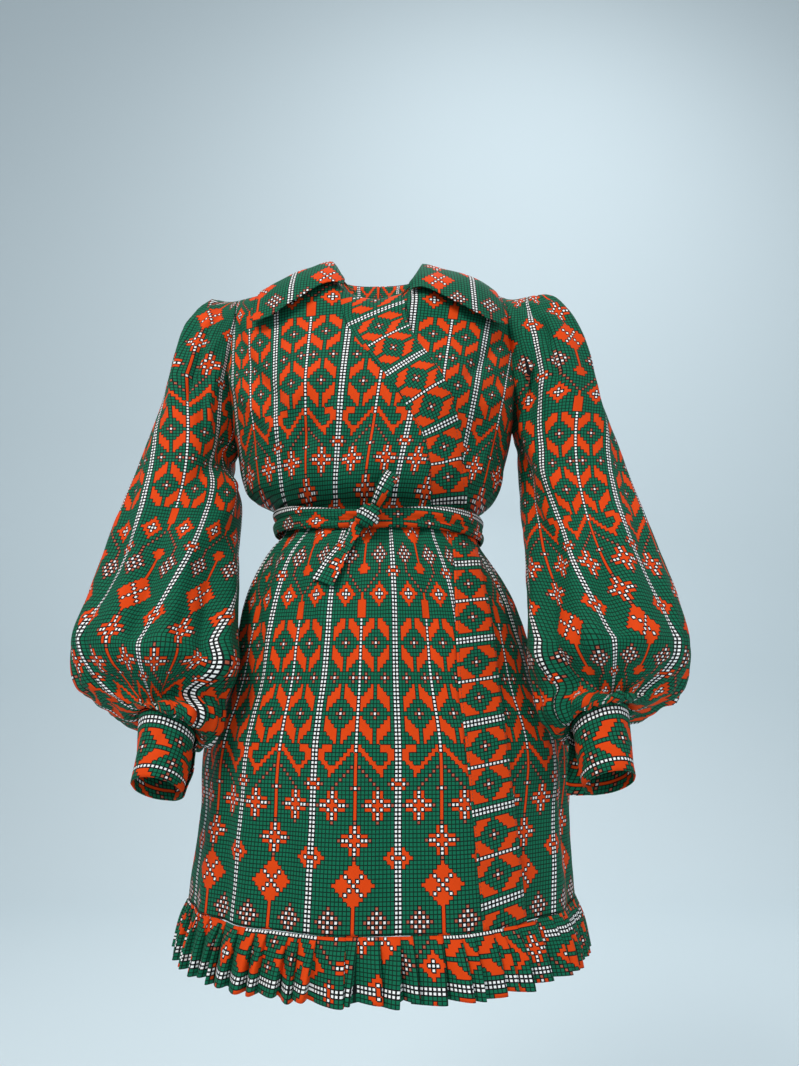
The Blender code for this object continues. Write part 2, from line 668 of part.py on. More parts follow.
def ruffle_point(angle, z, pleat):
    """The ruffle hangs from the skirt's lower edge and flares away from it."""
    wide, deep, height = read(RUFFLE, z)
    point = skirt_point(angle, SKIRT_ROWS[-1])
    outward = Vector((point.x, point.y, 0)).normalized()
    growth = lerp(wide, deep, abs(outward.y))
    return Vector((point.x, point.y, z)) + outward * (growth + height * pleat)


def ruffle_places(start, end):
    """Angle and pleat height of each fold line between two angles."""
    places = []
    for i in range(-PLEATS, 2 * PLEATS):
        for share, height in PLEAT_SHAPE:
            angle = (i + share) * 360.0 / PLEATS
            if start < angle < end:
                places.append((angle, height))
    return places


def make_ruffle(name, start, end, lift, pressed_to=-180.0):
    places = ruffle_places(start, end)
    rows = []
    for z, _, _, _ in RUFFLE[::-1]:
        row = []
        for angle, pleat in places:
            kept = PRESSED if angle < pressed_to else 1.0
            point = ruffle_point(angle, z, (pleat + 1.0) * kept)
            outward = Vector((point.x, point.y, 0)).normalized()
            row.append(point + outward * lift(angle))
        rows.append(row)
    sheet(name, rows, RUFFLE_WALL, "orange_green")


def make_ruffles():
    make_ruffle("ruffle_front_right", -89.9, RUFFLE_END, skirt_lift)
    make_ruffle("ruffle_front_left", UNDER_RUFFLE_START, 89.9, lambda angle: 0.0,
                RUFFLE_END + 2.0)
    make_ruffle("ruffle_back", 90.1, 269.9, lambda angle: 0.0)


# ---- collar ----------------------------------------------------------------------------------

def neck_surface(turn, share=0.0, edge=None):
    """A place on the shoulders between the neckline (share 0) and an outer edge (share 1), at a
    turn round the neck that is 0 at the front and -90 at the wearer's right: its point, and the
    bodice's outward direction there."""
    turn = (turn + 180.0) % 360.0 - 180.0
    in_front = abs(turn) <= 90.0
    angle = turn if in_front else math.copysign(180.0, turn) - turn
    across, level = neck_place(min(max(angle, -89.5), 89.5), in_front)
    if edge:
        edge_across, edge_level = place(*edge, in_front)
        across, level = lerp(across, edge_across, share), lerp(level, edge_level, share)
    level = min(level, 1.996)

    def surface(u, v):
        if not in_front:
            return back_point(-u, v)
        return over_point(u, v) if turn < UNDER_NECK_ANGLE else under_point(u, v)

    point = surface(across, level)
    out = moved_out(surface, across, level, 1.0) - point
    return point, out if out.z > 0.0 or in_front == (out.y < 0.0) else -out


def stand_line(turn, share):
    """The collar's stand rises from the neckline (share 0) to the fold (share 1)."""
    point, out = neck_surface(turn)
    along = neck_surface(turn + 2.0)[0] - neck_surface(turn - 2.0)[0]
    inward = along.cross(out).normalized()
    if inward.dot(Vector((NECK_X, 0.0, 0.05)) - point) < 0.0:
        inward = -inward
    half_turn = abs((turn + 180.0) % 360.0 - 180.0)
    height = read(STAND_HEIGHT, half_turn)[0]
    up = (out + Vector((0, 0, 1.2 * smooth((half_turn - 45.0) / 45.0)))).normalized()
    return point + inward * STAND_ROOM + out * 2.6 * WALL + up * height * share


def make_stand():
    count = 28
    first, last = COLLAR_EDGE[0][0], COLLAR_EDGE[-1][0]
    rows = []
    for share in (0.0, 0.5, 1.0):
        rows.append([stand_line(lerp(first, last, i / count), share) for i in range(count + 1)])
    sheet("collar_stand", rows[::-1], WALL)


def fall_point(turn, share):
    """The turned-down collar from its fold to its outer edge, over the shoulders."""
    edge_x, edge_z, stand_off = read([(-row[0],) + row[1:] for row in COLLAR_EDGE], -turn)
    neck, neck_out = neck_surface(turn)
    fold = stand_line(turn, 1.0) + neck_out * FOLD_ROOM
    half_turn = abs((turn + 180.0) % 360.0 - 180.0)
    near_end = 1.0 - smooth((half_turn - 22.0) / 30.0)
    sag = COLLAR_SAG * math.sin(math.pi * share) * near_end
    at = lerp(COLLAR_START * near_end, 1.0, share)
    point, out = neck_surface(turn, at, (edge_x, edge_z - sag))
    arch = stand_off * share + COLLAR_ARCH * math.sin(math.pi * share)
    return point + out * arch + (fold - neck) * (1.0 - share) ** 1.4


def make_fall():
    count = 28
    first, last = COLLAR_EDGE[0][0], COLLAR_EDGE[-1][0]
    rows = []
    for share in (0.0, 0.10, 0.32, 0.64, 1.0):
        rows.append([fall_point(lerp(first, last, i / count), share) for i in range(count + 1)])
    sheet("collar_fall", rows, WALL, "deep_green")


# ---- belt ------------------------------------------------------------------------------------

def belt_point(angle, share):
    """Angle 0 is the front centre; share runs from the belt's lower edge to its upper one."""
    turn = math.radians(angle)
    half = BELT_RIGHT if math.sin(turn) < 0 else BELT_LEFT
    depth = BELT_FRONT if math.cos(turn) > 0 else BELT_BACK
    near = bump((angle - KNOT_ANGLE + 180.0) % 360.0 - 180.0, KNOT_SPREAD)
    height = lerp(BELT_HEIGHT, BELT_HEIGHT_AT_KNOT, near)
    side_z = lerp(BELT_RIGHT_Z, BELT_LEFT_Z, 0.5 + 0.5 * math.sin(turn))
    z = lerp(side_z, BELT_FRONT_Z, near) + (share - 0.5) * height
    out = read(BELT_PROFILE, share)[0]
    return Vector(((half + out) * math.sin(turn), -(depth + out) * math.cos(turn), z))


def make_belt():
    count = 40
    shares = (0.0, 0.22, 0.46, 0.74, 1.0)
    rows = [[belt_point(360.0 * i / count, share) for i in range(count)] for share in shares]
    sheet("belt_wrap", rows, BELT_WALL, "deep_green", ring=True)


def make_knot():
    mesh = bpy.data.meshes.new("belt_knot")
    ball = bmesh.new()
    bmesh.ops.create_uvsphere(ball, u_segments=14, v_segments=8, radius=1.0)
    for vertex in ball.verts:
        x, y, z = vertex.co
        pinch = 1.0 - 0.22 * bump(x - 0.35 * z, 0.30)
        vertex.co = Vector((x * KNOT_SIZE[0], y * KNOT_SIZE[1] * pinch, z * KNOT_SIZE[2])) + KNOT
    ball.to_mesh(mesh)
    ball.free()
    add_object("belt_knot", mesh, "deep_green")


def make_loop():
    """The bow's loop: one strip out from the knot and back behind itself."""
    start = KNOT + LOOP_ALONG * LOOP_START
    rows = []
    for share in (-0.5, -0.2, 0.2, 0.5):
        rows.append([start + LOOP_ALONG * out + Vector((0, back, 0)) + LOOP_ACROSS * width * share
                     for out, back, width in LOOP_PATH])
    sheet("belt_loop", rows, BELT_WALL)


def make_tail():
    """The free end lies on the skirt, so it is made from the skirt's points, moved out."""
    rows = []
    for x, z, width in TAIL_PATH:
        across = TAIL_ACROSS * width
        row = []
        for i in range(5):
            share = i / 4 - 0.5
            at_x, at_z = x + across.x * share, z + across.z * share
            height = lerp(0.0131, 0.0062, smooth((-0.374 - at_z) / 0.018))
            height += 0.0010 * math.cos(share * 9.0)
            row.append(moved_out(over_skirt_point, skirt_angle(at_x, at_z), at_z, height))
        rows.append(row)
    sheet("belt_tail", rows[::-1], BELT_WALL)


# ---- the dress -------------------------------------------------------------------------------

def clear_scene():
    for item in list(bpy.data.objects):
        bpy.data.objects.remove(item)
    collection = bpy.data.collections.new(COLLECTION)
    bpy.context.scene.collection.children.link(collection)


def main():
    clear_scene()
    make_fronts()
    make_back()
    make_sleeve("sleeve_right", -1, SLEEVE_RIGHT, TROUGHS_RIGHT)
    make_sleeve("sleeve_left", 1, SLEEVE_LEFT, TROUGHS_LEFT)
    make_cuff("cuff_right", CUFF_RIGHT, -1, 0.0)
    make_cuff("cuff_left", CUFF_LEFT, 1, 0.016)
    make_skirt()
    make_ruffles()
    make_stand()
    make_fall()
    make_belt()
    make_knot()
    make_loop()
    make_tail()


main()
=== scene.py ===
import math

import bpy
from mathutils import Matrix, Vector, noise


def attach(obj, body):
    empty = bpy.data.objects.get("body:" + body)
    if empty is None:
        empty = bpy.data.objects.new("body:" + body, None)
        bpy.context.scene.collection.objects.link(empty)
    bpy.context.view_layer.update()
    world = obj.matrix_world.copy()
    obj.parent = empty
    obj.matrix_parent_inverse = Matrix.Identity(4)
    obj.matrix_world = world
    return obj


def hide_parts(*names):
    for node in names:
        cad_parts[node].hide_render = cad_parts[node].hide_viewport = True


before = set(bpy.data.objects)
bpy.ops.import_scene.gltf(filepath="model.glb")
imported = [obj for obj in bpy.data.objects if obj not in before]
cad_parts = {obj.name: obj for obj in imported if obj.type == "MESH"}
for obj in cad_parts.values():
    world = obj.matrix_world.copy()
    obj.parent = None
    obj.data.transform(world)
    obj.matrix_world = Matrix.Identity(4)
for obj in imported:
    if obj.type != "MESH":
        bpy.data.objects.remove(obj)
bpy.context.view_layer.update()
fine = 1.0
pieces = {}                            # every cloth piece made here, by name

# Camera first, at the height and distance from which a shopper sees the dress
cameraSet = {"lens": 27.0, "sensor": 36.0, "place": (0.020, -0.98, -0.55), "pitch": 101.0, "nearest": 0.01}


def makeCamera():
    data = bpy.data.cameras.new("camera")
    data.lens = cameraSet["lens"]
    data.sensor_width = cameraSet["sensor"]
    data.clip_start = cameraSet["nearest"]
    camera = bpy.data.objects.new("camera", data)
    camera.location = cameraSet["place"]
    camera.rotation_euler = (math.radians(cameraSet["pitch"]), 0.0, 0.0)
    bpy.context.scene.collection.objects.link(camera)
    bpy.context.scene.camera = camera


makeCamera()
print("camera placed")


# Small tools

def lerp(a, b, share):
    return a + (b - a) * share


def smooth(value):
    value = min(max(value, 0.0), 1.0)
    return value * value * (3.0 - 2.0 * value)


def bump(distance, spread):
    return math.exp(-(distance / spread) ** 2)


def turned(angle):
    return (angle + 180.0) % 360.0 - 180.0


def read(table, at):
    # the other columns of a table, where its first column is at, along a smooth curve
    rows = table if table[0][0] < table[-1][0] else table[::-1]
    last = len(rows) - 1
    at = min(max(at, rows[0][0]), rows[last][0])
    low = 0
    while low < last - 1 and rows[low + 1][0] <= at:
        low += 1
    gap = rows[low + 1][0] - rows[low][0]
    share = (at - rows[low][0]) / gap
    s2, s3 = share ** 2, share ** 3
    values = []
    for column in range(1, len(rows[0])):
        slopes = []
        for i in (low, low + 1):
            before, after = rows[max(i - 1, 0)], rows[min(i + 1, last)]
            slopes.append((after[column] - before[column]) / (after[0] - before[0]) * gap)
        values.append(rows[low][column] * (2 * s3 - 3 * s2 + 1) + slopes[0] * (s3 - 2 * s2 + share)
                      + rows[low + 1][column] * (3 * s2 - 2 * s3) + slopes[1] * (s3 - s2))
    return values


def steps(length, spacing):
    # how many grid steps fill a length
    return max(2, round(length / (spacing * fine)))


probe = {"across": 0.08, "up": 0.002}      # how far to each side a surface's slope is read


def movedOut(surface, u, v, height):
    # a point of a surface, moved off it along its outward normal
    alongU = surface(u + probe["across"], v) - surface(u - probe["across"], v)
    alongV = surface(u, v + probe["up"]) - surface(u, v - probe["up"])
    return surface(u, v) + alongU.cross(alongV).normalized() * height


def undulate(point, slow, quick):
    # the small unevenness of cloth that hangs, the same for two pieces that meet
    broad = slow * noise.noise(point * clothSet["slowPitch"])
    return broad + quick * noise.noise(point * clothSet["quickPitch"])


def waves(angle, table):
    # gathers round a piece: the share, count, drift, drift's count and start of each wave
    return sum(share * math.cos(angle * count + drift * math.sin(angle * driftCount) + start)
               for share, count, drift, driftCount, start in table)


# How far a fold runs on past its ends and over what share of its length it fades there, at how
# many of its widths from its line it ends, and within how many degrees of the front it is looked for
creaseSet = {"beyond": 0.3, "fade": 0.6, "reach": 2.6, "turns": 200}


def creases(table, s, t):
    # folds listed one by one, in metres on the cloth: start, end, width, height and bow of each
    total = 0.0
    beyond, fade = creaseSet["beyond"], creaseSet["fade"]
    for s0, t0, s1, t1, wide, high, bow in table:
        ds, dt = s1 - s0, t1 - t0
        long2 = ds * ds + dt * dt
        share = ((s - s0) * ds + (t - t0) * dt) / long2
        if -beyond < share < 1.0 + beyond:
            off = ((s - s0) * dt - (t - t0) * ds) / math.sqrt(long2)
            off -= bow * math.sin(math.pi * min(max(share, 0.0), 1.0))
            if abs(off) < creaseSet["reach"] * wide:
                ends = smooth((share + beyond) / fade) * smooth((1.0 + beyond - share) / fade)
                total += high * math.exp(-(off / wide) ** 2) * ends
    return total


degreeWide = 0.0031       # metres of bodice or skirt for each degree round it


def wideFolds(table):
    # folds given by angle and height, in metres on the cloth
    return tuple((a * degreeWide, z0, b * degreeWide, z1, w, h, bow)
                 for a, z0, b, z1, w, h, bow in table)


def foldsAt(table, angle, z):
    # the folds at a place round the body, also those that are listed a whole turn away
    return sum(creases(table, (angle + lap) * degreeWide, z) for lap in (-360, 0, 360)
               if abs(angle + lap) < creaseSet["turns"])


def lifted(rows, heights):
    # rows of points, each moved along the sheet's outward normal by its height
    out = []
    last, end = len(rows) - 1, len(rows[0]) - 1
    for r, row in enumerate(rows):
        below, above = rows[max(r - 1, 0)], rows[min(r + 1, last)]
        line = []
        for c, point in enumerate(row):
            across = row[min(c + 1, end)] - row[max(c - 1, 0)]
            line.append(point + across.cross(above[c] - below[c]).normalized() * heights[r][c])
        out.append(line)
    return out


def makeSheet(name, rows, cells, wall, nodes):
    # a cloth piece: a fine grid of points with its place on the print, its wall growing outwards
    columns = len(rows[0])
    points = [tuple(point) for row in rows for point in row]
    faces = []
    for r in range(len(rows) - 1):
        for c in range(columns - 1):
            a = r * columns + c
            faces.append((a, a + 1, a + columns + 1, a + columns))
    mesh = bpy.data.meshes.new(name)
    mesh.from_pydata(points, [], faces)
    place = mesh.attributes.new("printPlace", "FLOAT_VECTOR", "POINT")
    place.data.foreach_set("vector", [n for row in cells for u, v in row for n in (u, v, 0.0)])
    mesh.shade_smooth()
    piece = bpy.data.objects.new(name + "_cloth", mesh)
    bpy.context.scene.collection.objects.link(piece)
    solid = piece.modifiers.new("wall", "SOLIDIFY")
    solid.thickness = wall
    solid.offset = 1.0
    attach(piece, "root")
    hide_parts(*nodes)
    pieces[name] = piece
    return piece


# The print: a cross-stitch chart that repeats, charted here from its motifs

printSet = {
    "columns": 23, "rows": 90, "half": 11,
    "cellWide": 0.00370, "cellTall": 0.00398,
    "lozengeRows": (6, 24), "lozengeColumn": 5, "betweenRow": 15,
    "axisDots": 34, "stems": ((34, 51), (59, 60), (70, 75), (83, 85)), "tick": 42,
    "bar": (85, 90), "crosses": (41, 77),
    "sideFlower": (6, 46), "midFlower": (0, 54), "bigDiamond": (0, 64),
    "dotDiamond": (6, 72), "ball": (0, 76), "smallDiamond": (6, 83), "stripeDiamond": (11, 58),
    # the scroll's two diagonals, as y - x and as x + y, and the cells of its foot and its head
    "scrollFall": (31, 32), "scrollClimb": (44, 45),
    "scrollTurns": ((7, 39), (7, 32), (8, 32), (9, 32), (7, 33), (8, 33), (9, 33), (10, 33), (9, 34)),
    # the dotted diagonals that leave the axis, as y - x and as x + y, and the rows where they meet
    "dottedFall": 36, "dottedClimb": 83, "dottedMeet": (76, 77),
    "bandMiddle": 6.5,        # the row that lies along the middle of a band cut crosswise
}
# Kinds of cell are 0 ground, 1 orange, 2 pink dot and 3 white dot.  A curve holds them divided by
# the scale, with steps this much of a row wide; the dots start above 1 and the white ones above 2.
kindSet = {"scale": 4.0, "step": 0.02, "sameWithin": 0.4, "orange": 1.0, "dots": 1.5, "white": 2.5}


def isScroll(x, y):
    # an arm that falls from the axis, turns at its foot and climbs to a hooked head
    falls = 1 <= x <= 6 and y - x in printSet["scrollFall"]
    climbs = 7 <= x <= 10 and x + y in printSet["scrollClimb"]
    return falls or climbs or (x, y) in printSet["scrollTurns"]


def lozengeClass(x, y):
    kind = 0
    for centre in printSet["lozengeRows"]:
        across, down = abs(x - printSet["lozengeColumn"]), abs(y - centre)
        if 1 <= across <= 4 and down >= 1 and 5 <= across + down <= 8:
            kind = 1
        elif across + down <= 1:
            kind = 3 - across - down
    for column in (2, 8):
        away = abs(x - column) + abs(y - printSet["betweenRow"])
        if away <= 1:
            kind = 3 - away
    return kind


def axisClass(x, y):
    # the dotted line, the stems and the shapes that lie on the axis between two stripes
    if x == 0 and (y < printSet["axisDots"] or y == printSet["tick"]):
        return 3
    if x == 0 and any(start <= y < end for start, end in printSet["stems"]):
        return 1
    if x <= 1 and printSet["bar"][0] <= y < printSet["bar"][1]:
        return 1
    down = abs(y - printSet["ball"][1])
    if (x <= 1 and down <= 1) or (x == 2 and down == 0):
        return 1
    down = abs(y - printSet["bigDiamond"][1])
    if x + down <= 5:
        return 3 if x == down and x <= 2 else 1
    dotted = 1 <= x <= 5 and (y - x == printSet["dottedFall"] or x + y == printSet["dottedClimb"])
    dotted = dotted or (x == 6 and y in printSet["dottedMeet"])
    return 2 if dotted or (x, y) == (1, printSet["tick"]) else 0


def stripeClass(x, y):
    # the white stripe down the repeat's edge, with its crosses and its diamond
    out = printSet["half"] - x
    for row in printSet["crosses"]:
        away = out + abs(y - row)
        if out <= 2 and away <= 2 and (out > 0 or y == row):
            return 3 if (out, y) == (1, row) else 1 if out < 2 else 2
    down = abs(y - printSet["stripeDiamond"][1])
    if out + down <= 3 and (out > 0 or down == 0):
        return 3 if (out, down) == (1, 0) else 1
    return 3 if out == 0 else 0


def flowerClass(x, y):
    for column, row in (printSet["sideFlower"], printSet["midFlower"]):
        across, down = abs(x - column), abs(y - row)
        if (across, down) == (1, 1) or (min(across, down) == 0 and max(across, down) in (2, 3)):
            return 3
        if min(across, down) == 0 and max(across, down) == 4:
            return 2
        if min(across, down) <= 1 and across + down <= 4:
            return 1
    return 0


def chartClass(x, y):
    # 0 ground, 1 orange, 2 pink dot and 3 white dot, for the column x from the axis and the row y
    kinds = [stripeClass(x, y), axisClass(x, y), lozengeClass(x, y), flowerClass(x, y)]
    if isScroll(x, y):
        kinds.append(1)
    away = abs(x - printSet["dotDiamond"][0]) + abs(y - printSet["dotDiamond"][1])
    if away <= 3:
        kinds.append(3 if away % 2 == 0 else 2)
    away = abs(x - printSet["smallDiamond"][0]) + abs(y - printSet["smallDiamond"][1])
    if away <= 3:
        kinds.append(3 if away <= 1 else 1)
    return max(kinds)


class Wire:
    # a number socket that adds, multiplies and compares, so that node maths reads as maths
    def __init__(self, tree, socket):
        self.tree, self.socket = tree, socket

    def math(self, operation, *others):
        node = self.tree.nodes.new("ShaderNodeMath")
        node.operation = operation
        for i, value in enumerate((self,) + others):
            if isinstance(value, Wire):
                self.tree.links.new(value.socket, node.inputs[i])
            else:
                node.inputs[i].default_value = value
        return Wire(self.tree, node.outputs[0])

    def __add__(self, other):
        return self.math("ADD", other)

    def __sub__(self, other):
        return self.math("SUBTRACT", other)

    def __mul__(self, other):
        return self.math("MULTIPLY", other)

    def over(self, other):
        return self.math("GREATER_THAN", other)

    def equals(self, other):
        return self.math("COMPARE", other, kindSet["sameWithin"])


def newGroup(name, inputs, outputs):
    tree = bpy.data.node_groups.new(name, "ShaderNodeTree")
    for label, kind in inputs:
        tree.interface.new_socket(label, in_out="INPUT", socket_type=kind)
    for label, kind in outputs:
        tree.interface.new_socket(label, in_out="OUTPUT", socket_type=kind)
    return tree, tree.nodes.new("NodeGroupInput"), tree.nodes.new("NodeGroupOutput")


def placeGroup(tree, group):
    node = tree.nodes.new("ShaderNodeGroup")
    node.node_tree = group
    return node


def makeChartGroup():
    # which kind of cell lies at a place, one curve for each column of the chart
    tree, start, end = newGroup("print chart", [("U", "NodeSocketFloat"), ("V", "NodeSocketFloat")],
                                [("Kind", "NodeSocketFloat")])
    u, v = (Wire(tree, start.outputs[name]) for name in ("U", "V"))
    rows, half, step = printSet["rows"], printSet["half"], kindSet["step"]
    column = (u.math("FLOOR").math("FLOORED_MODULO", printSet["columns"]) - half).math("ABSOLUTE")
    row = (v.math("FLOOR").math("FLOORED_MODULO", rows) + 0.5) * (1.0 / rows)
    total = None
    for x in range(half + 1):
        curve = tree.nodes.new("ShaderNodeFloatCurve")
        line = curve.mapping.curves[0]
        kinds = [chartClass(x, y) / kindSet["scale"] for y in range(rows)]
        places = [(0.0, kinds[0])]
        for y in range(1, rows):
            if kinds[y] != kinds[y - 1]:
                places += [((y - step) / rows, kinds[y - 1]), ((y + step) / rows, kinds[y])]
        places.append((1.0, kinds[-1]))
        line.points[0].location, line.points[1].location = places[0], places[-1]
        for place in places[1:-1]:
            line.points.new(*place)
        for point in line.points:
            point.handle_type = "VECTOR"
        curve.mapping.update()
        tree.links.new(row.socket, curve.inputs["Value"])
        here = Wire(tree, curve.outputs[0]) * column.equals(x)
        total = here if total is None else total + here
    kind = (total * kindSet["scale"]).math("ROUND")
    tree.links.new(kind.socket, end.inputs["Kind"])
    return tree


inkSet = {
    "ground": (0.0020, 0.1450, 0.0720, 1.0),
    "grid": (0.0006, 0.0240, 0.0120, 1.0),
    "orange": (0.7400, 0.0570, 0.0010, 1.0),
    "pink": (0.4600, 0.1050, 0.0560, 1.0),
    "white": (0.9200, 0.9300, 0.9100, 1.0),
    "outline": (0.0030, 0.0050, 0.0050, 1.0),
    "outlineHalf": 0.13,      # half the outline's width, in cells
    "gridWidth": 0.125,       # half a grid line's
    "dotSize": 0.295,         # half a white dot's
    "pinkSize": 0.31,
}


def makePrintGroup(chart):
    # the printed colours at a place on the cloth, given in cells
    tree, start, end = newGroup("wax print", [("Place", "NodeSocketVector")],
                                [("Color", "NodeSocketColor"), ("Inked", "NodeSocketFloat")])
    split = tree.nodes.new("ShaderNodeSeparateXYZ")
    tree.links.new(start.outputs["Place"], split.inputs[0])
    u, v = Wire(tree, split.outputs[0]), Wire(tree, split.outputs[1])
    kinds = []
    for side in (1.0, -1.0):
        node = placeGroup(tree, chart)
        for name, wire in (("U", u), ("V", v)):
            tree.links.new((wire + side * inkSet["outlineHalf"]).socket, node.inputs[name])
        kinds.append(Wire(tree, node.outputs["Kind"]))
    first, second = kinds
    same = first.equals(second)
    fromU = (u.math("FRACT") - 0.5).math("ABSOLUTE")
    fromV = (v.math("FRACT") - 0.5).math("ABSOLUTE")
    edge = fromU.math("MAXIMUM", fromV)
    gridLine = edge.over(0.5 - inkSet["gridWidth"])
    dotted = first.over(kindSet["dots"])
    white = first.over(kindSet["white"])
    dotSize = white * (inkSet["dotSize"] - inkSet["pinkSize"]) + inkSet["pinkSize"]
    outside = edge.math("GREATER_THAN", dotSize) * dotted

    # the sockets of a colour mix come after those of a number mix
    def mixColour(share, low, high):
        node = tree.nodes.new("ShaderNodeMix")
        node.data_type = "RGBA"
        tree.links.new(share.socket, node.inputs[0])
        for value, socket in ((low, node.inputs[6]), (high, node.inputs[7])):
            if isinstance(value, tuple):
                socket.default_value = value
            else:
                tree.links.new(value, socket)
        return node.outputs[2]

    colour = mixColour(gridLine, inkSet["ground"], inkSet["grid"])
    colour = mixColour(first.equals(kindSet["orange"]), colour, inkSet["orange"])
    colour = mixColour(dotted, colour, mixColour(white, inkSet["pink"], inkSet["white"]))
    dark = (outside + (same * -1.0 + 1.0)).math("MINIMUM", 1.0)
    colour = mixColour(dark, colour, inkSet["outline"])
    tree.links.new(colour, end.inputs["Color"])
    tree.links.new(dark.socket, end.inputs["Inked"])
    return tree


# How much the weave's raised crossings are painted lighter and its hollows darker (painted shade), and how
# much the yarn's colour varies at random (fade)
weaveSet = {"threads": 11.0, "shadeAndTone": 0.10, "fade": 0.14, "slubScale": 0.35, "slubDetail": 3.0}


def makeWeaveGroup():
    # plain weave: threads over and under each other, with painted shade that lightens the raised crossings
    # and darkens the hollows between them, and a little random unevenness in their colour
    tree, start, end = newGroup("plain weave", [("Place", "NodeSocketVector")],
                                [("Height", "NodeSocketFloat"), ("Tint", "NodeSocketFloat")])
    split = tree.nodes.new("ShaderNodeSeparateXYZ")
    tree.links.new(start.outputs["Place"], split.inputs[0])
    turn = math.pi * weaveSet["threads"]
    waves = [(Wire(tree, split.outputs[i]) * turn).math("SINE") for i in (0, 1)]
    height = waves[0] * waves[1]
    slub = tree.nodes.new("ShaderNodeTexNoise")
    slub.inputs["Scale"].default_value = weaveSet["slubScale"]
    slub.inputs["Detail"].default_value = weaveSet["slubDetail"]
    tree.links.new(start.outputs["Place"], slub.inputs["Vector"])
    faded = (Wire(tree, slub.outputs[0]) - 0.5) * weaveSet["fade"]
    # painted shade from the weave's relief, plus the random tone of the yarn
    shadeAndTone = height * weaveSet["shadeAndTone"] + faded + 1.0
    tree.links.new(height.socket, end.inputs["Height"])
    tree.links.new(shadeAndTone.socket, end.inputs["Tint"])
    return tree


finishSet = {"roughness": 0.76, "specular": 0.16, "sheen": 0.02, "sheenRoughness": 0.5,
             "bumpStrength": 0.22, "bumpDistance": 0.0002, "inkRoughness": -0.05}


def makePrintedCotton():
    material = bpy.data.materials.new("printed cotton")
    material.use_nodes = True
    tree = material.node_tree
    shader = tree.nodes["Principled BSDF"]
    place = tree.nodes.new("ShaderNodeAttribute")
    place.attribute_name = "printPlace"
    inked = placeGroup(tree, makePrintGroup(makeChartGroup()))
    weave = placeGroup(tree, makeWeaveGroup())
    for node in (inked, weave):
        tree.links.new(place.outputs["Vector"], node.inputs["Place"])
    # the print's colour scaled by the weave's painted shade and the yarn's random tone
    shadedColour = tree.nodes.new("ShaderNodeVectorMath")
    shadedColour.operation = "SCALE"
    tree.links.new(inked.outputs["Color"], shadedColour.inputs[0])
    tree.links.new(weave.outputs["Tint"], shadedColour.inputs["Scale"])
    tree.links.new(shadedColour.outputs[0], shader.inputs["Base Color"])
    rough = Wire(tree, inked.outputs["Inked"]) * finishSet["inkRoughness"] + finishSet["roughness"]
    tree.links.new(rough.socket, shader.inputs["Roughness"])
    relief = tree.nodes.new("ShaderNodeBump")
    relief.inputs["Strength"].default_value = finishSet["bumpStrength"]
    relief.inputs["Distance"].default_value = finishSet["bumpDistance"]
    tree.links.new(weave.outputs["Height"], relief.inputs["Height"])
    tree.links.new(relief.outputs["Normal"], shader.inputs["Normal"])
    shader.inputs["Specular IOR Level"].default_value = finishSet["specular"]
    shader.inputs["Sheen Weight"].default_value = finishSet["sheen"]
    shader.inputs["Sheen Roughness"].default_value = finishSet["sheenRoughness"]
    return material


printedCotton = makePrintedCotton()
print("print charted and cotton made")


# Bodice: half widths and depths by height, as the solids have them

clothSet = {
    "wall": 0.0010, "seam": 0.0004, "lap": 0.0030, "sink": 0.0026,
    "spacing": 0.0040, "slow": 0.0018, "quick": 0.0007, "foldDepth": 1.45,
    "slowPitch": 17.0, "quickPitch": 46.0,
}
bodiceSet = {
    "waistZ": -0.351, "chestZ": -0.120, "ridgeY": 0.010, "underarmRight": 0.41, "underarmLeft": 0.55,
    "neckX": -0.009, "neckHalf": 0.062, "neckSideZ": -0.007, "neckFrontZ": -0.092,
    "neckBackZ": -0.016, "seamNeckAngle": -50.0, "edgeNeckAngle": 32.0, "underNeckAngle": -8.0,
    "neckEnd": 89.0, "neckTop": 88.0, "overNeckRows": 4, "underNeckRows": 6,
    "side": 89.8, "shoulderFrom": 0.060, "shoulderOver": 0.060, "fullness": 0.8, "fullTo": 0.12,
    "seamTurn": 0.07, "frontSteps": 13, "bandSteps": 6, "backNeckSteps": 8, "backShoulderSteps": (4, 5),
}
# The gathers above the belt: height, waves round the body, and the heights where they start and
# fade, which vary round the body
blouseSet = {
    "height": 0.0030, "waves": ((0.6, 18, 1.2, 3, 0.0), (0.4, 31, 0.0, 0, math.radians(40.0))),
    "foot": -0.345, "rise": 0.018, "reach": -0.262, "reachWave": 0.024, "reachCount": 7, "fade": 0.045,
}
# Where the under layer's gathers start, where it sinks and the over layer lifts, and where that and
# the folds end at the shoulder: an angle, two places across and two levels, each with the width
# over which it changes
wrapSet = {
    "gathersFrom": 45.0, "gathersOver": 12.0, "sinkFrom": 0.050, "sinkOver": 0.060,
    "liftFrom": -0.130, "liftOver": 0.030, "topFrom": 1.45, "calmFrom": 1.55, "topOver": 0.35,
}
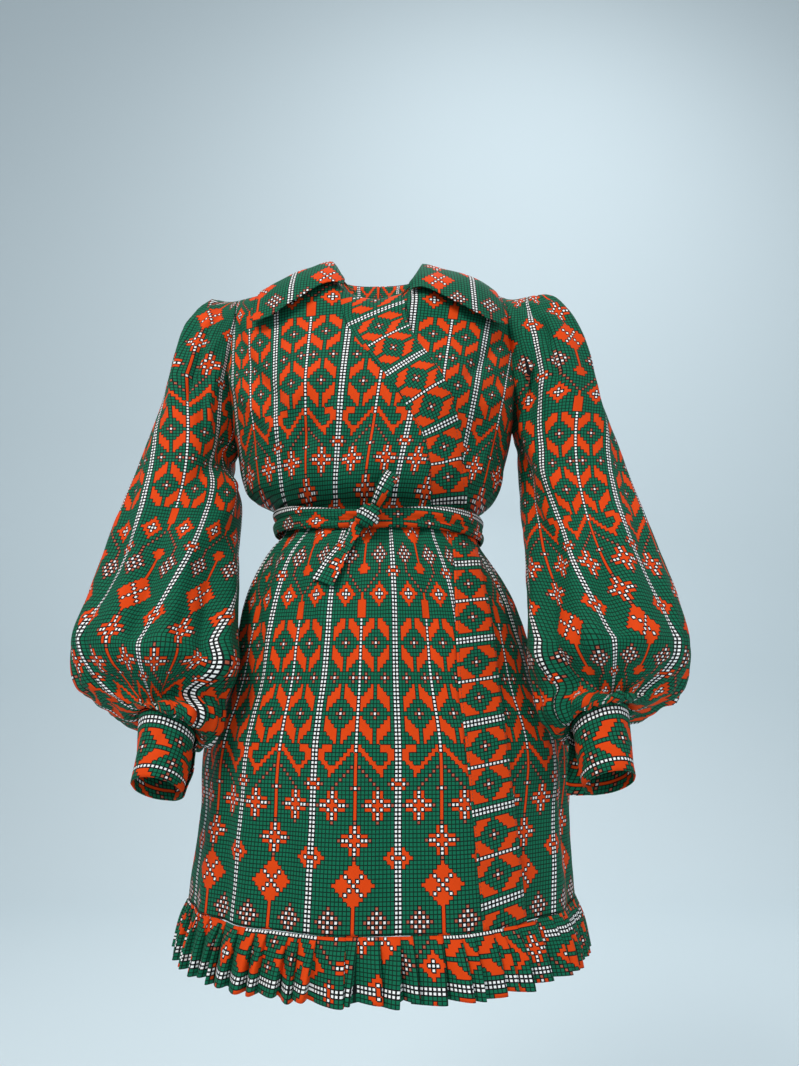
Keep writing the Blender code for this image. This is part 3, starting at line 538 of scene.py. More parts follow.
# The height and width of a border's steps, and how late a patch follows its top
patchSet = {"tall": 0.026, "wide": 0.024, "topPower": 4}
bodiceSections = (
    (-0.351, 0.115, 0.112, 0.092, 0.080),
    (-0.338, 0.120, 0.115, 0.097, 0.084),
    (-0.3295, 0.138, 0.127, 0.112, 0.094),
    (-0.318, 0.161, 0.139, 0.121, 0.102),
    (-0.300, 0.171, 0.146, 0.126, 0.106),
    (-0.270, 0.180, 0.152, 0.128, 0.107),
    (-0.240, 0.188, 0.159, 0.130, 0.107),
    (-0.210, 0.197, 0.166, 0.129, 0.109),
    (-0.180, 0.204, 0.170, 0.122, 0.111),
    (-0.150, 0.207, 0.172, 0.112, 0.111),
    (-0.120, 0.208, 0.172, 0.100, 0.108),
)
shoulderLine = (
    (0.000, -0.052, 0.030), (0.030, -0.040, 0.022), (0.050, -0.016, 0.006),
    (0.062, -0.007, -0.007), (0.090, -0.023, -0.023), (0.120, -0.035, -0.035),
    (0.150, -0.042, -0.042), (0.175, -0.045, -0.045), (0.210, -0.048, -0.048),
)
bust = ((-0.086, -0.214, 0.052, 0.013), (0.072, -0.210, 0.050, 0.013))
armhole = ((0.00, 89.7), (0.05, 80.0), (0.12, 72.5), (0.25, 67.0), (0.50, 65.0), (0.80, 67.5),
           (1.00, 74.0))
rowsBelowArm = (0.0, 0.056, 0.092, 0.142, 0.215, 0.310)
armholeSteps = (0.0, 0.05, 0.12, 0.22, 0.35, 0.49, 0.64, 0.78, 0.90, 1.0)
bandSeam = ((0.056, -0.351), (0.053, -0.318), (0.048, -0.282), (0.033, -0.249), (0.010, -0.213),
            (-0.012, -0.181), (-0.034, -0.147), (-0.046, -0.118))
bandEdge = ((0.098, -0.351), (0.096, -0.318), (0.089, -0.274), (0.078, -0.231), (0.062, -0.194),
            (0.045, -0.165), (0.032, -0.138), (0.028, -0.111))
underEdge = ((-0.088, -0.351), (-0.070, -0.270), (-0.040, -0.190), (-0.020, -0.130))


def bodiceSizes(angle, level):
    z = lerp(bodiceSet["waistZ"], bodiceSet["chestZ"], min(max(level, 0.0), 1.0))
    right, left, front, back = read(bodiceSections, z)
    return z, (right if angle < 0 else left), front, back


def shoulderHeight(x, isFront):
    nearness = 1.0 - smooth((abs(x) - bodiceSet["shoulderFrom"]) / bodiceSet["shoulderOver"])
    return read(shoulderLine, abs(x - bodiceSet["neckX"] * nearness))[0 if isFront else 1]


def bodicePoint(angle, level, isFront, gathered=1.0):
    # level 0 is the waist, 1 the chest and 2 the shoulder seam; angle 0 is the centre line
    z, half, front, back = bodiceSizes(angle, level)
    across = math.radians(min(max(angle, -90.0), 90.0))
    around = angle if isFront else 180.0 - angle
    bodyTurn = math.radians(around)
    reach = blouseSet["reach"] + blouseSet["reachWave"] * math.sin(bodyTurn * blouseSet["reachCount"])
    folds = blouseSet["height"] / 2 * (1.0 + waves(bodyTurn, blouseSet["waves"])) * gathered
    folds *= smooth((reach - z) / blouseSet["fade"])
    folds *= smooth((z - blouseSet["foot"]) / blouseSet["rise"])
    x = (half + folds) * math.sin(across)
    depth = ((front if isFront else back) + folds) * math.cos(across)
    if isFront:
        for bustX, bustZ, spread, height in bust:
            depth += height * bump(math.hypot(x - bustX, z - bustZ), spread)
    if level > 1.0:
        turn = math.radians(90.0 * (min(level, 2.0) - 1.0))
        z = lerp(bodiceSet["chestZ"], shoulderHeight(x, isFront), math.sin(turn))
        fullness = 1.0 + bodiceSet["fullness"] * (1.0 - smooth(abs(x) / bodiceSet["fullTo"]))
        ridge = bodiceSet["ridgeY"] if isFront else -bodiceSet["ridgeY"]
        depth = -ridge + (depth + ridge) * max(math.cos(turn), 0.0) ** fullness
    return Vector((x, -depth if isFront else depth, z))


def frontPoint(angle, level):
    return bodicePoint(angle, level, True) + Vector((0, -clothSet["seam"] / 2, 0))


def smoothFrontPoint(angle, level):
    gathered = smooth((angle - wrapSet["gathersFrom"]) / wrapSet["gathersOver"])
    return bodicePoint(angle, level, True, gathered) + Vector((0, -clothSet["seam"] / 2, 0))


def belowShoulder(level, start):
    return 1.0 - smooth((level - start) / wrapSet["topOver"])


def underPoint(angle, level):
    x = smoothFrontPoint(angle, level).x
    sunk = clothSet["sink"] * (1.0 - smooth((x - wrapSet["sinkFrom"]) / wrapSet["sinkOver"]))
    return movedOut(smoothFrontPoint, angle, level, -sunk * belowShoulder(level, wrapSet["topFrom"]))


def backPoint(angle, level):
    return bodicePoint(-angle, level, False) + Vector((0, clothSet["seam"] / 2, 0))


def overPoint(angle, level):
    x = frontPoint(angle, level).x
    lift = clothSet["lap"] * smooth((x - wrapSet["liftFrom"]) / wrapSet["liftOver"])
    return movedOut(frontPoint, angle, level, lift * belowShoulder(level, wrapSet["topFrom"]))


def placeOf(x, z, isFront=True):
    # the (angle, level) pair of a place seen from the front
    waist, chest = bodiceSet["waistZ"], bodiceSet["chestZ"]
    if z <= chest:
        level = (z - waist) / (chest - waist)
    else:
        ridge = shoulderHeight(x, isFront)
        level = 1.0 + math.degrees(math.asin(min((z - chest) / (ridge - chest), 1.0))) / 90.0
    half = bodiceSizes(x, level)[1]
    return math.degrees(math.asin(max(min(x / half, 1.0), -1.0))), level


def sideBorder(underarm, side):
    border = [(bodiceSet["side"] * side, level) for level in rowsBelowArm]
    for share in armholeSteps:
        border.append((read(armhole, share)[0] * side, lerp(underarm, 2.0, share)))
    return border


def neckPlace(angle, isFront=True):
    turn = math.radians(angle)
    x = bodiceSet["neckX"] + bodiceSet["neckHalf"] * math.sin(turn)
    low = bodiceSet["neckFrontZ"] if isFront else bodiceSet["neckBackZ"]
    z = bodiceSet["neckSideZ"] + (low - bodiceSet["neckSideZ"]) * math.cos(turn)
    across, level = placeOf(x, z, isFront)
    return across, 2.0 if abs(angle) > bodiceSet["neckTop"] else level


def lineBorder(line, neckAngles, rowsLeft):
    # a wrap line from the waist to the neckline, then places along the neckline
    byHeight = [(z, x) for x, z in line]
    waist, chest = bodiceSet["waistZ"], bodiceSet["chestZ"]
    heights = [lerp(waist, chest, level) for level in rowsBelowArm]
    heights += [lerp(heights[-1], line[-1][1], (i + 1) / rowsLeft) for i in range(rowsLeft)]
    return [placeOf(read(byHeight, z)[0], z) for z in heights] + [neckPlace(a) for a in neckAngles]


def levelLine(start, end, count, level):
    return [(lerp(start, end, i / count), level) for i in range(count + 1)]


def evenly(start, end, count):
    return [lerp(start, end, i / (count - 1)) for i in range(count)]


def finer(border, times):
    # the same border with more points, along a smooth curve through the given ones
    out, last = [], len(border) - 1
    for i in range(last):
        before, start, end, after = (border[min(max(i + k, 0), last)] for k in (-1, 0, 1, 2))
        for k in range(times):
            s = k / times
            s2, s3 = s * s, s * s * s
            out.append(tuple(
                a[1] * (2 * s3 - 3 * s2 + 1) + (a[2] - a[0]) / 2 * (s3 - 2 * s2 + s)
                + a[2] * (3 * s2 - 2 * s3) + (a[3] - a[1]) / 2 * (s3 - s2)
                for a in zip(before, start, end, after)))
    return out + [border[last]]


def patch(left, right, bottom, top):
    # places inside four borders
    rows = []
    for r, (a, b) in enumerate(zip(left, right)):
        v = (r / (len(left) - 1)) ** patchSet["topPower"]
        row = []
        for c, (low, high) in enumerate(zip(bottom, top)):
            u = c / (len(bottom) - 1)
            row.append(tuple(
                lerp(a[i], b[i], u) + lerp(low[i], high[i], v)
                - lerp(lerp(left[0][i], right[0][i], u), lerp(left[-1][i], right[-1][i], u), v)
                for i in (0, 1)))
        rows.append(row)
    return rows


# Folds of the bodice: angle and height of both ends, width, height and bow; 0 degrees is the
# front centre, 90 the wearer's left side and 180 the back
bodiceFolds = wideFolds((
    (-62, -0.105, -38, -0.225, 0.009, -0.0045, 0.006),
    (-70, -0.150, -40, -0.262, 0.010, 0.0035, 0.004),
    (-58, -0.290, -22, -0.205, 0.010, 0.0030, 0.005),
    (-44, -0.318, -20, -0.250, 0.008, -0.0030, 0.003),
    (-30, -0.322, -14, -0.235, 0.007, 0.0028, 0.002),
    (-18, -0.325, -8, -0.262, 0.006, -0.0026, -0.002),
    (-6, -0.325, -2, -0.272, 0.006, 0.0026, 0.002),
    (36, -0.320, 44, -0.240, 0.007, -0.0034, 0.003),
    (46, -0.322, 58, -0.225, 0.008, 0.0030, 0.004),
    (64, -0.315, 70, -0.245, 0.008, -0.0030, -0.003),
    (62, -0.120, 36, -0.200, 0.010, -0.0040, 0.005),
    (70, -0.180, 44, -0.236, 0.009, 0.0030, 0.003),
    (112, -0.110, 140, -0.230, 0.012, -0.0038, 0.006),
    (150, -0.300, 158, -0.200, 0.012, 0.0032, 0.003),
    (128, -0.310, 138, -0.215, 0.010, -0.0030, 0.003),
    (176, -0.310, 172, -0.190, 0.012, -0.0034, -0.003),
    (-164, -0.310, -156, -0.205, 0.012, 0.0032, 0.003),
    (-142, -0.312, -136, -0.220, 0.010, -0.0032, 0.003),
    (-112, -0.110, -142, -0.225, 0.012, -0.0040, -0.006),
    (-120, -0.300, -118, -0.235, 0.010, 0.0030, 0.002),
    (96, -0.200, 100, -0.305, 0.009, 0.0026, 0.002),
    (-95, -0.225, -99, -0.310, 0.009, 0.0026, 0.002),
))


def bodiceHeight(angle, point, isFront, level):
    around = angle if isFront else turned(180.0 + angle)
    folds = foldsAt(bodiceFolds, around, point.z) * clothSet["foldDepth"]
    uneven = undulate(point, clothSet["slow"], clothSet["quick"])
    return belowShoulder(level, wrapSet["calmFrom"]) * (folds + uneven)


# Where the print lies on the bodice.  A line is a double stripe's place across at two heights,
# and followed a little above and below them.  The gathers above the belt draw the cloth, and so
# its print, in.  A place across is partly measured round the body.
bodicePrint = {
    "row0": -0.115, "chest": -0.150, "waist": -0.300, "above": -0.4, "below": 1.3,
    "right": (-0.040, -0.050), "left": (0.120, 0.090), "back": (0.0, 0.0),
    "chestSpread": 1.10, "waistSpread": 0.85, "arcHalf": 0.190, "arcShare": 0.62,
    "bandFirst": -0.115, "bandStep": 0.074, "bandLean": 0.50, "bandLeanAtBelt": 0.15,
    "leanFrom": -0.345, "leanOver": 0.090, "bandSpread": 0.94,
}


def frontArc(x):
    # how far round the body a place of the front lies, so that the print isn't squeezed at the side
    half, share = bodicePrint["arcHalf"], bodicePrint["arcShare"]
    return half * math.asin(max(min(x / half, 1.0), -1.0)) * share + x * (1.0 - share)


def bodiceCells(point, side, mirror=1.0):
    down = (bodicePrint["chest"] - point.z) / (bodicePrint["chest"] - bodicePrint["waist"])
    down = min(max(down, bodicePrint["above"]), bodicePrint["below"])
    line = lerp(*bodicePrint[side], down)
    spread = lerp(bodicePrint["chestSpread"], bodicePrint["waistSpread"], down)
    across = frontArc(point.x * mirror) - frontArc(line)
    return (across / printSet["cellWide"] / spread,
            (bodicePrint["row0"] - point.z) / printSet["cellTall"])


def makePatch(name, borders, surface, cellOf, isFront):
    left, right, bottom, top = borders
    times = steps(patchSet["tall"], clothSet["spacing"])
    wide = steps(patchSet["wide"], clothSet["spacing"])
    places = patch(finer(left, times), finer(right, times), finer(bottom, wide), finer(top, wide))
    rows = [[surface(*at) for at in row] for row in places]
    heights = [[bodiceHeight(at[0], point, isFront, at[1]) for at, point in zip(line, row)]
               for line, row in zip(places, rows)]
    rows = lifted(rows, heights)
    cells = [[cellOf(point) for point in row] for row in rows]
    return makeSheet(name, rows, cells, clothSet["wall"], [name])


def makeFronts():
    overRows = len(armholeSteps) - bodiceSet["overNeckRows"]
    underRows = len(armholeSteps) - bodiceSet["underNeckRows"]
    seamAngle, edgeAngle = bodiceSet["seamNeckAngle"], bodiceSet["edgeNeckAngle"]
    seamTurn, count, bandCount = bodiceSet["seamTurn"], bodiceSet["frontSteps"], bodiceSet["bandSteps"]

    left = sideBorder(bodiceSet["underarmRight"], -1)
    neck = evenly(seamAngle, -bodiceSet["neckEnd"], bodiceSet["overNeckRows"])
    right = [(a - seamTurn, v) for a, v in lineBorder(bandSeam, neck, overRows)]
    top = levelLine(left[-1][0], right[-1][0], count, 2.0)
    bottom = levelLine(left[0][0], right[0][0], count, 0.0)
    makePatch("bodice_front_right", (left, right, bottom, top), overPoint,
              lambda p: bodiceCells(p, "right"), True)

    left = [(a + seamTurn, v) for a, v in lineBorder(bandSeam, [seamAngle], overRows)]
    right = lineBorder(bandEdge, [edgeAngle], overRows)
    top = [neckPlace(angle) for angle in evenly(seamAngle, edgeAngle, bandCount + 1)]
    top[0] = left[-1]
    bottom = levelLine(left[0][0], right[0][0], bandCount, 0.0)
    seam, edge = [(z, x) for x, z in bandSeam], [(z, x) for x, z in bandEdge]

    def bandCells(p):
        # the band is cut across the cloth: columns run along it, rows across it
        low, high = read(seam, p.z)[0], read(edge, p.z)[0]
        off = p.x - (low + high) / 2
        lean = lerp(bodicePrint["bandLeanAtBelt"], bodicePrint["bandLean"],
                    smooth((p.z - bodicePrint["leanFrom"]) / bodicePrint["leanOver"]))
        along = bodicePrint["bandFirst"] - (p.z - lean * off)
        return (along / bodicePrint["bandStep"] * printSet["columns"],
                off * bodicePrint["bandSpread"] / printSet["cellTall"] + printSet["bandMiddle"])

    makePatch("bodice_band", (left, right, bottom, top), overPoint, bandCells, True)

    neck = evenly(bodiceSet["underNeckAngle"], bodiceSet["neckEnd"], bodiceSet["underNeckRows"])
    left = lineBorder(underEdge, neck, underRows)
    right = sideBorder(bodiceSet["underarmLeft"], 1)
    top = levelLine(left[-1][0], right[-1][0], count, 2.0)
    bottom = levelLine(left[0][0], right[0][0], count, 0.0)
    makePatch("bodice_front_left", (left, right, bottom, top), underPoint,
              lambda p: bodiceCells(p, "left"), True)


def makeBack():
    left = sideBorder(bodiceSet["underarmLeft"], -1)
    right = sideBorder(bodiceSet["underarmRight"], 1)
    angles = evenly(bodiceSet["neckEnd"], -bodiceSet["neckEnd"], bodiceSet["backNeckSteps"])
    neck = [(-angle, level) for angle, level in (neckPlace(a, False) for a in angles)]
    leftSteps, rightSteps = bodiceSet["backShoulderSteps"]
    top = levelLine(left[-1][0], neck[0][0], leftSteps, 2.0)[:-1] + neck
    top += levelLine(neck[-1][0], right[-1][0], rightSteps, 2.0)[1:]
    bottom = levelLine(left[0][0], right[0][0], len(top) - 1, 0.0)
    makePatch("bodice_back", (left, right, bottom, top), backPoint,
              lambda p: bodiceCells(p, "back", -1.0), False)


# Sleeves and cuffs
sleeveSet = {
    "wide": 0.0036, "tall": 0.0042, "girth": 0.46, "ringStep": 0.052,
    "degreeWide": 0.00125, "ringTall": 0.055,
    "waves": ((0.65, 17, 1.1, 2, 0.0), (0.35, 26, 0.0, 0, 0.8)), "troughSpread": 1.6,
    "armholeRoom": 0.0006, "roomBelow": 0.4, "armholePower": 1.4, "foldsFrom": 0.7, "foldsTo": 1.2,
    "foldDepth": 1.80, "crumple": 0.0045, "crumplesFrom": 9.3, "crumplePitch": 58.0, "curlsIn": 9.4,
}
sleeveRight = (
    (0.222, -0.053, 0.1935, -0.279, -0.004, 0.062, 0.0, 0.0016),
    (0.244, -0.079, 0.190, -0.297, -0.006, 0.068, 0.0, 0.0018),
    (0.262, -0.123, 0.183, -0.311, -0.010, 0.072, 0.0, 0.0006),
    (0.274, -0.190, 0.177, -0.328, -0.016, 0.072, 2.0, 0.0),
    (0.288, -0.255, 0.171, -0.360, -0.026, 0.070, 5.0, 0.0),
    (0.303, -0.325, 0.169, -0.402, -0.046, 0.064, 9.0, 0.0),
    (0.315, -0.392, 0.165, -0.450, -0.069, 0.063, 14.0, 0.0),
    (0.326, -0.458, 0.160, -0.500, -0.092, 0.063, 20.0, 0.0008),
    (0.333, -0.503, 0.157, -0.545, -0.109, 0.063, 25.0, 0.0026),
    (0.324, -0.540, 0.161, -0.572, -0.116, 0.059, 28.0, 0.0044),
    (0.294, -0.566, 0.174, -0.594, -0.117, 0.050, 30.0, 0.0044),
    (0.266, -0.580, 0.184, -0.602, -0.116, 0.042, 31.0, 0.0030),
    (0.2540, -0.5810, 0.1945, -0.5930, -0.1140, 0.0350, 32.0, 0.0010),
)
sleeveLeft = (
    (0.192, -0.050, 0.1700, -0.240, -0.004, 0.062, 0.0, 0.0016),
    (0.222, -0.058, 0.1700, -0.258, -0.006, 0.069, 0.0, 0.0018),
    (0.250, -0.104, 0.1690, -0.283, -0.010, 0.073, 0.0, 0.0006),
    (0.268, -0.185, 0.1700, -0.315, -0.016, 0.073, 2.0, 0.0),
    (0.286, -0.254, 0.1700, -0.356, -0.026, 0.070, 5.0, 0.0),
    (0.305, -0.331, 0.1690, -0.397, -0.046, 0.064, 9.0, 0.0),
    (0.317, -0.400, 0.1660, -0.441, -0.069, 0.063, 14.0, 0.0),
    (0.326, -0.455, 0.1630, -0.492, -0.092, 0.063, 20.0, 0.0008),
    (0.331, -0.507, 0.1620, -0.537, -0.109, 0.063, 25.0, 0.0026),
    (0.322, -0.546, 0.1670, -0.569, -0.116, 0.059, 28.0, 0.0044),
    (0.297, -0.564, 0.1780, -0.588, -0.117, 0.050, 30.0, 0.0044),
    (0.272, -0.573, 0.1880, -0.596, -0.116, 0.042, 31.0, 0.0030),
    (0.2610, -0.5710, 0.2000, -0.5840, -0.1140, 0.0350, 32.0, 0.0010),
)
# Troughs: ring, turn from the top by way of the front, spreads in rings and degrees, lean, depth
troughsRight = (
    (1.5, 150.0, 0.8, 34.0, -1.0, 0.009),
    (3.2, 120.0, 0.7, 40.0, 1.2, 0.006),
    (5.4, 205.0, 0.9, 36.0, 0.8, 0.006),
    (7.2, 60.0, 0.9, 30.0, -1.4, 0.005),
    (4.6, 300.0, 0.9, 38.0, 1.0, 0.006),
    (10.3, 116.0, 0.62, 36.0, -1.0, 0.034),
    (10.3, 50.0, 0.70, 28.0, 0.6, 0.012),
    (10.2, 250.0, 0.75, 40.0, 0.8, 0.012),
    (9.2, 116.0, 0.50, 36.0, -1.0, -0.009),
)
troughsLeft = (
    (1.6, 128.0, 0.7, 46.0, 0.9, 0.013),
    (3.6, 150.0, 0.8, 36.0, -1.0, 0.007),
    (6.2, 110.0, 0.9, 34.0, 1.2, 0.005),
    (5.2, 250.0, 0.9, 36.0, -0.9, 0.006),
    (2.8, 310.0, 0.9, 38.0, -1.0, 0.006),
    (10.2, 102.0, 0.62, 38.0, -0.8, 0.032),
    (10.3, 40.0, 0.70, 28.0, 0.7, 0.011),
    (10.2, 262.0, 0.75, 38.0, -0.6, 0.012),
    (9.1, 102.0, 0.50, 38.0, -0.8, -0.009),
)
# Folds: turn and ring of both ends, width and height in metres, bow
foldsRight = (
    (20, 1.2, 60, 4.2, 0.010, 0.0035, 0.006),
    (60, 0.8, 82, 3.4, 0.009, -0.0035, 0.004),
    (100, 0.6, 112, 2.8, 0.009, 0.0035, -0.004),
    (150, 1.2, 96, 5.6, 0.012, -0.0045, 0.010),
    (165, 2.4, 118, 6.4, 0.011, 0.0038, 0.010),
    (30, 5.2, 50, 8.4, 0.012, -0.0030, 0.006),
    (64, 6.0, 72, 9.2, 0.009, 0.0034, 0.003),
    (90, 6.6, 84, 9.6, 0.009, -0.0040, 0.003),
    (112, 6.4, 100, 9.4, 0.009, 0.0036, 0.004),
    (136, 6.9, 128, 9.8, 0.010, -0.0044, 0.003),
    (158, 6.0, 150, 9.4, 0.011, 0.0036, 0.003),
    (210, 2.0, 240, 6.4, 0.013, -0.0045, 0.010),
    (250, 1.0, 282, 4.8, 0.013, 0.0036, 0.008),
    (300, 4.0, 280, 8.6, 0.013, -0.0040, 0.008),
    (324, 1.0, 336, 4.4, 0.011, -0.0032, 0.005),
    (222, 6.8, 230, 9.6, 0.010, 0.0040, 0.003),
    (256, 6.9, 252, 9.6, 0.009, -0.0040, 0.003),
    (330, 6.6, 322, 9.4, 0.010, 0.0034, 0.003),
)
foldsLeft = (
    (18, 1.0, 44, 4.6, 0.011, 0.0032, 0.007),
    (52, 1.0, 92, 3.0, 0.009, -0.0042, 0.006),
    (92, 0.8, 150, 2.2, 0.010, 0.0044, 0.005),
    (148, 1.4, 110, 5.4, 0.011, 0.0040, 0.012),
    (166, 2.6, 128, 6.8, 0.012, -0.0045, 0.010),
    (36, 5.0, 56, 8.8, 0.012, -0.0028, 0.006),
    (70, 5.6, 74, 9.0, 0.010, 0.0034, 0.004),
    (96, 6.4, 92, 9.6, 0.009, -0.0042, 0.003),
    (118, 6.6, 108, 9.4, 0.009, 0.0038, 0.004),
    (140, 6.8, 134, 9.8, 0.010, -0.0042, 0.003),
    (160, 6.2, 156, 9.5, 0.010, 0.0034, 0.003),
    (206, 2.2, 236, 6.8, 0.013, -0.0045, 0.010),
    (246, 1.0, 280, 5.0, 0.013, 0.0038, 0.008),
    (304, 4.2, 286, 8.8, 0.013, -0.0040, 0.008),
    (330, 1.2, 340, 4.8, 0.011, -0.0030, 0.005),
    (228, 6.9, 236, 9.7, 0.010, 0.0040, 0.003),
    (262, 6.9, 258, 9.6, 0.009, -0.0038, 0.003),
)
# Print: the row at a height on the arm, which way the rows run, and a double stripe that bows
# outwards at the elbow, in degrees of turn; girth is what the arm's depth adds to its half width.
# The axis: height, places across and from front to back, half width
sleevePrint = {
    "sleeve_right": {"row": 24.0, "at": -0.255, "down": -1.0, "top": 115.0, "bow": 30.0, "foot": 95.0},
    "sleeve_left": {"row": 6.0, "at": -0.255, "down": 1.0, "top": 115.0, "bow": 30.0, "foot": 100.0},
    "topAt": -0.180, "footAt": -0.500, "girth": 0.068,
}
sleeveAxis = ((0.060, 0.160, 0.004, 0.045), (-0.040, 0.190, -0.002, 0.050),
              (-0.140, 0.214, -0.008, 0.055), (-0.254, 0.229, -0.022, 0.059),
              (-0.330, 0.237, -0.044, 0.066), (-0.400, 0.242, -0.070, 0.074),
              (-0.500, 0.247, -0.107, 0.085), (-0.560, 0.246, -0.116, 0.085),
              (-0.680, 0.242, -0.134, 0.085))


def armholePoint(side, turn):
    underarm = bodiceSet["underarmRight"] if side < 0 else bodiceSet["underarmLeft"]
    fromTop = turn if turn <= 180.0 else 360.0 - turn
    if fromTop < 90.0:
        share = 1.0 - 0.5 * (fromTop / 90.0) ** sleeveSet["armholePower"]
    else:
        share = 0.5 + 0.5 * math.cos(math.radians(fromTop))
    angle, level = read(armhole, share)[0] * side, lerp(underarm, 2.0, share)
    point = bodicePoint(angle, level, turn <= 180.0)
    room = sleeveSet["armholeRoom"]
    return point + Vector((side * room, 0, -room * sleeveSet["roomBelow"] * (1.0 - share)))


def sleeveRow(side, rings, troughs, at, turns):
    # one ring of the sleeve: at counts the rings from the head, 0 lying on the armhole
    down = max(at - 1, 0)
    low = min(int(down), len(rings) - 2)
    table = [(i,) + rings[i] for i in range(max(low - 1, 0), min(low + 3, len(rings)))]
    outerX, outerZ, innerX, innerZ, y, depth, tilt, gather = read(table, down)
    outer, inner = Vector((side * outerX, 0, outerZ)), Vector((side * innerX, 0, innerZ))
    centre = (outer + inner) / 2 + Vector((0, y, 0))
    reach = (outer - inner) / 2
    forward = Vector((0, -math.cos(math.radians(tilt)), math.sin(math.radians(tilt))))
    row = []
    for turn in turns:
        turn %= 360.0
        angle = math.radians(turn)
        hollow = sum(
            deep * bump(at - ring - lean * (turn - place) / 90.0, ringSpread)
            * bump(turned(turn - place), turnSpread * sleeveSet["troughSpread"])
            for ring, place, ringSpread, turnSpread, lean, deep in troughs)
        wave = waves(angle, sleeveSet["waves"])
        spoke = reach * math.cos(angle) + forward * depth * math.sin(angle)
        point = centre + spoke * (1.0 + (gather * wave - hollow) / spoke.length)
        if at < 1.0:
            point = armholePoint(side, turn).lerp(point, at)
        row.append(point)
    return row


def sleeveCells(side, how, point, nominal):
    # the place on the print of a point of the sleeve, unrolled from round the arm's axis; the
    # nominal turn tells which side of the seam under the arm it lies on
    x, y, half = read(sleeveAxis, point.z)
    turn = math.degrees(math.atan2(y - point.y, side * point.x - x))
    turn += 360.0 * round((nominal - turn) / 360.0)
    down = (sleevePrint["topAt"] - point.z) / (sleevePrint["topAt"] - sleevePrint["footAt"])
    down = min(max(down, 0.0), 1.0)
    stripe = lerp(how["top"], how["foot"], down) + how["bow"] * math.sin(math.pi * down)
    girth = half + sleevePrint["girth"]
    row = how["row"] + how["down"] * (how["at"] - point.z) / printSet["cellTall"]
    return math.radians(turn - stripe) * girth / 2 / printSet["cellWide"], row


def makeSleeve(name, side, rings, troughs, folds):
    last, how = len(rings), sleevePrint[name]
    columns = steps(sleeveSet["girth"], sleeveSet["wide"])
    # the seam lies under the arm, so the turns start and end there
    turns = [360.0 * i / columns - 180.0 for i in range(columns + 1)]
    if side > 0:
        turns.reverse()
    per = steps(sleeveSet["ringStep"], sleeveSet["tall"])
    levels = [i / per for i in range(last * per + 1)]
    rows = [sleeveRow(side, rings, troughs, at, turns) for at in levels]
    wide, tall = sleeveSet["degreeWide"], sleeveSet["ringTall"]
    table = tuple((a * wide, r0 * tall, b * wide, r1 * tall, w, h, bow)
                  for a, r0, b, r1, w, h, bow in folds)
    heights, cells = [], []
    for at, row in zip(levels, rows):
        near = smooth(at / sleeveSet["foldsFrom"]) * smooth((last - at) / sleeveSet["foldsTo"])
        crumple = sleeveSet["crumple"] * smooth(at - sleeveSet["crumplesFrom"])
        heights.append([
            near * (sum(creases(table, (turn + lap) * wide, at * tall) for lap in (0, 360))
                    * sleeveSet["foldDepth"]
                    + crumple * noise.noise(point * sleeveSet["crumplePitch"])
                    + undulate(point, clothSet["slow"], clothSet["quick"]))
            for turn, point in zip(turns, row)])
        if at <= sleeveSet["curlsIn"]:
            cells.append([sleeveCells(side, how, point, turn) for turn, point in zip(turns, row)])
        else:
            cells.append([(u, v + how["down"] * (a - b).length / printSet["cellTall"])
                          for (u, v), a, b in zip(cells[-1], row, above)])
        above = row
    # rows run down the arm, so they are turned over for a wall that grows outwards
    rows = lifted(rows[::-1], heights[::-1])
    return makeSheet(name, rows, cells[::-1], clothSet["wall"], [name])


# Each cuff has three rings: place across, to front and back and in height, half width, rise of
# its outer side, half depth and tilt
cuffSet = {
    "columns": 150, "rows": 17, "startTurn": -62.0, "lapTurn": 400.0, "tall": 0.031,
    "lapFrom": 0.84, "lapOver": 0.06, "lapHeight": 0.0026, "flareFrom": 0.90, "flareOver": 0.12,
    "firstColumn": -2.4, "firstRow": 3.0, "slow": 0.0010, "quick": 0.0005, "flareLeft": 0.016,
    "right": ((-0.2243, -0.1160, -0.5893, 0.0285, 0.0058, 0.0338, 32.0),
              (-0.2235, -0.1258, -0.6210, 0.0265, 0.0040, 0.0322, 30.0),
              (-0.2265, -0.1350, -0.6500, 0.0245, 0.0020, 0.0305, 28.0)),
    "left": ((0.2305, -0.1160, -0.5803, 0.0290, 0.0062, 0.0338, 32.0),
             (0.2318, -0.1258, -0.6130, 0.0275, 0.0045, 0.0322, 30.0),
             (0.2335, -0.1350, -0.6440, 0.0255, 0.0030, 0.0305, 28.0)),
    "folds": ((0.020, 0.004, 0.034, 0.050, 0.006, -0.0016, 0.002),
              (0.060, 0.000, 0.072, 0.036, 0.005, -0.0014, -0.001),
              (0.098, 0.012, 0.104, 0.060, 0.006, -0.0018, 0.002),
              (0.140, 0.000, 0.150, 0.030, 0.005, -0.0016, 0.001),
              (0.176, 0.010, 0.186, 0.058, 0.006, 0.0014, 0.001)),
}


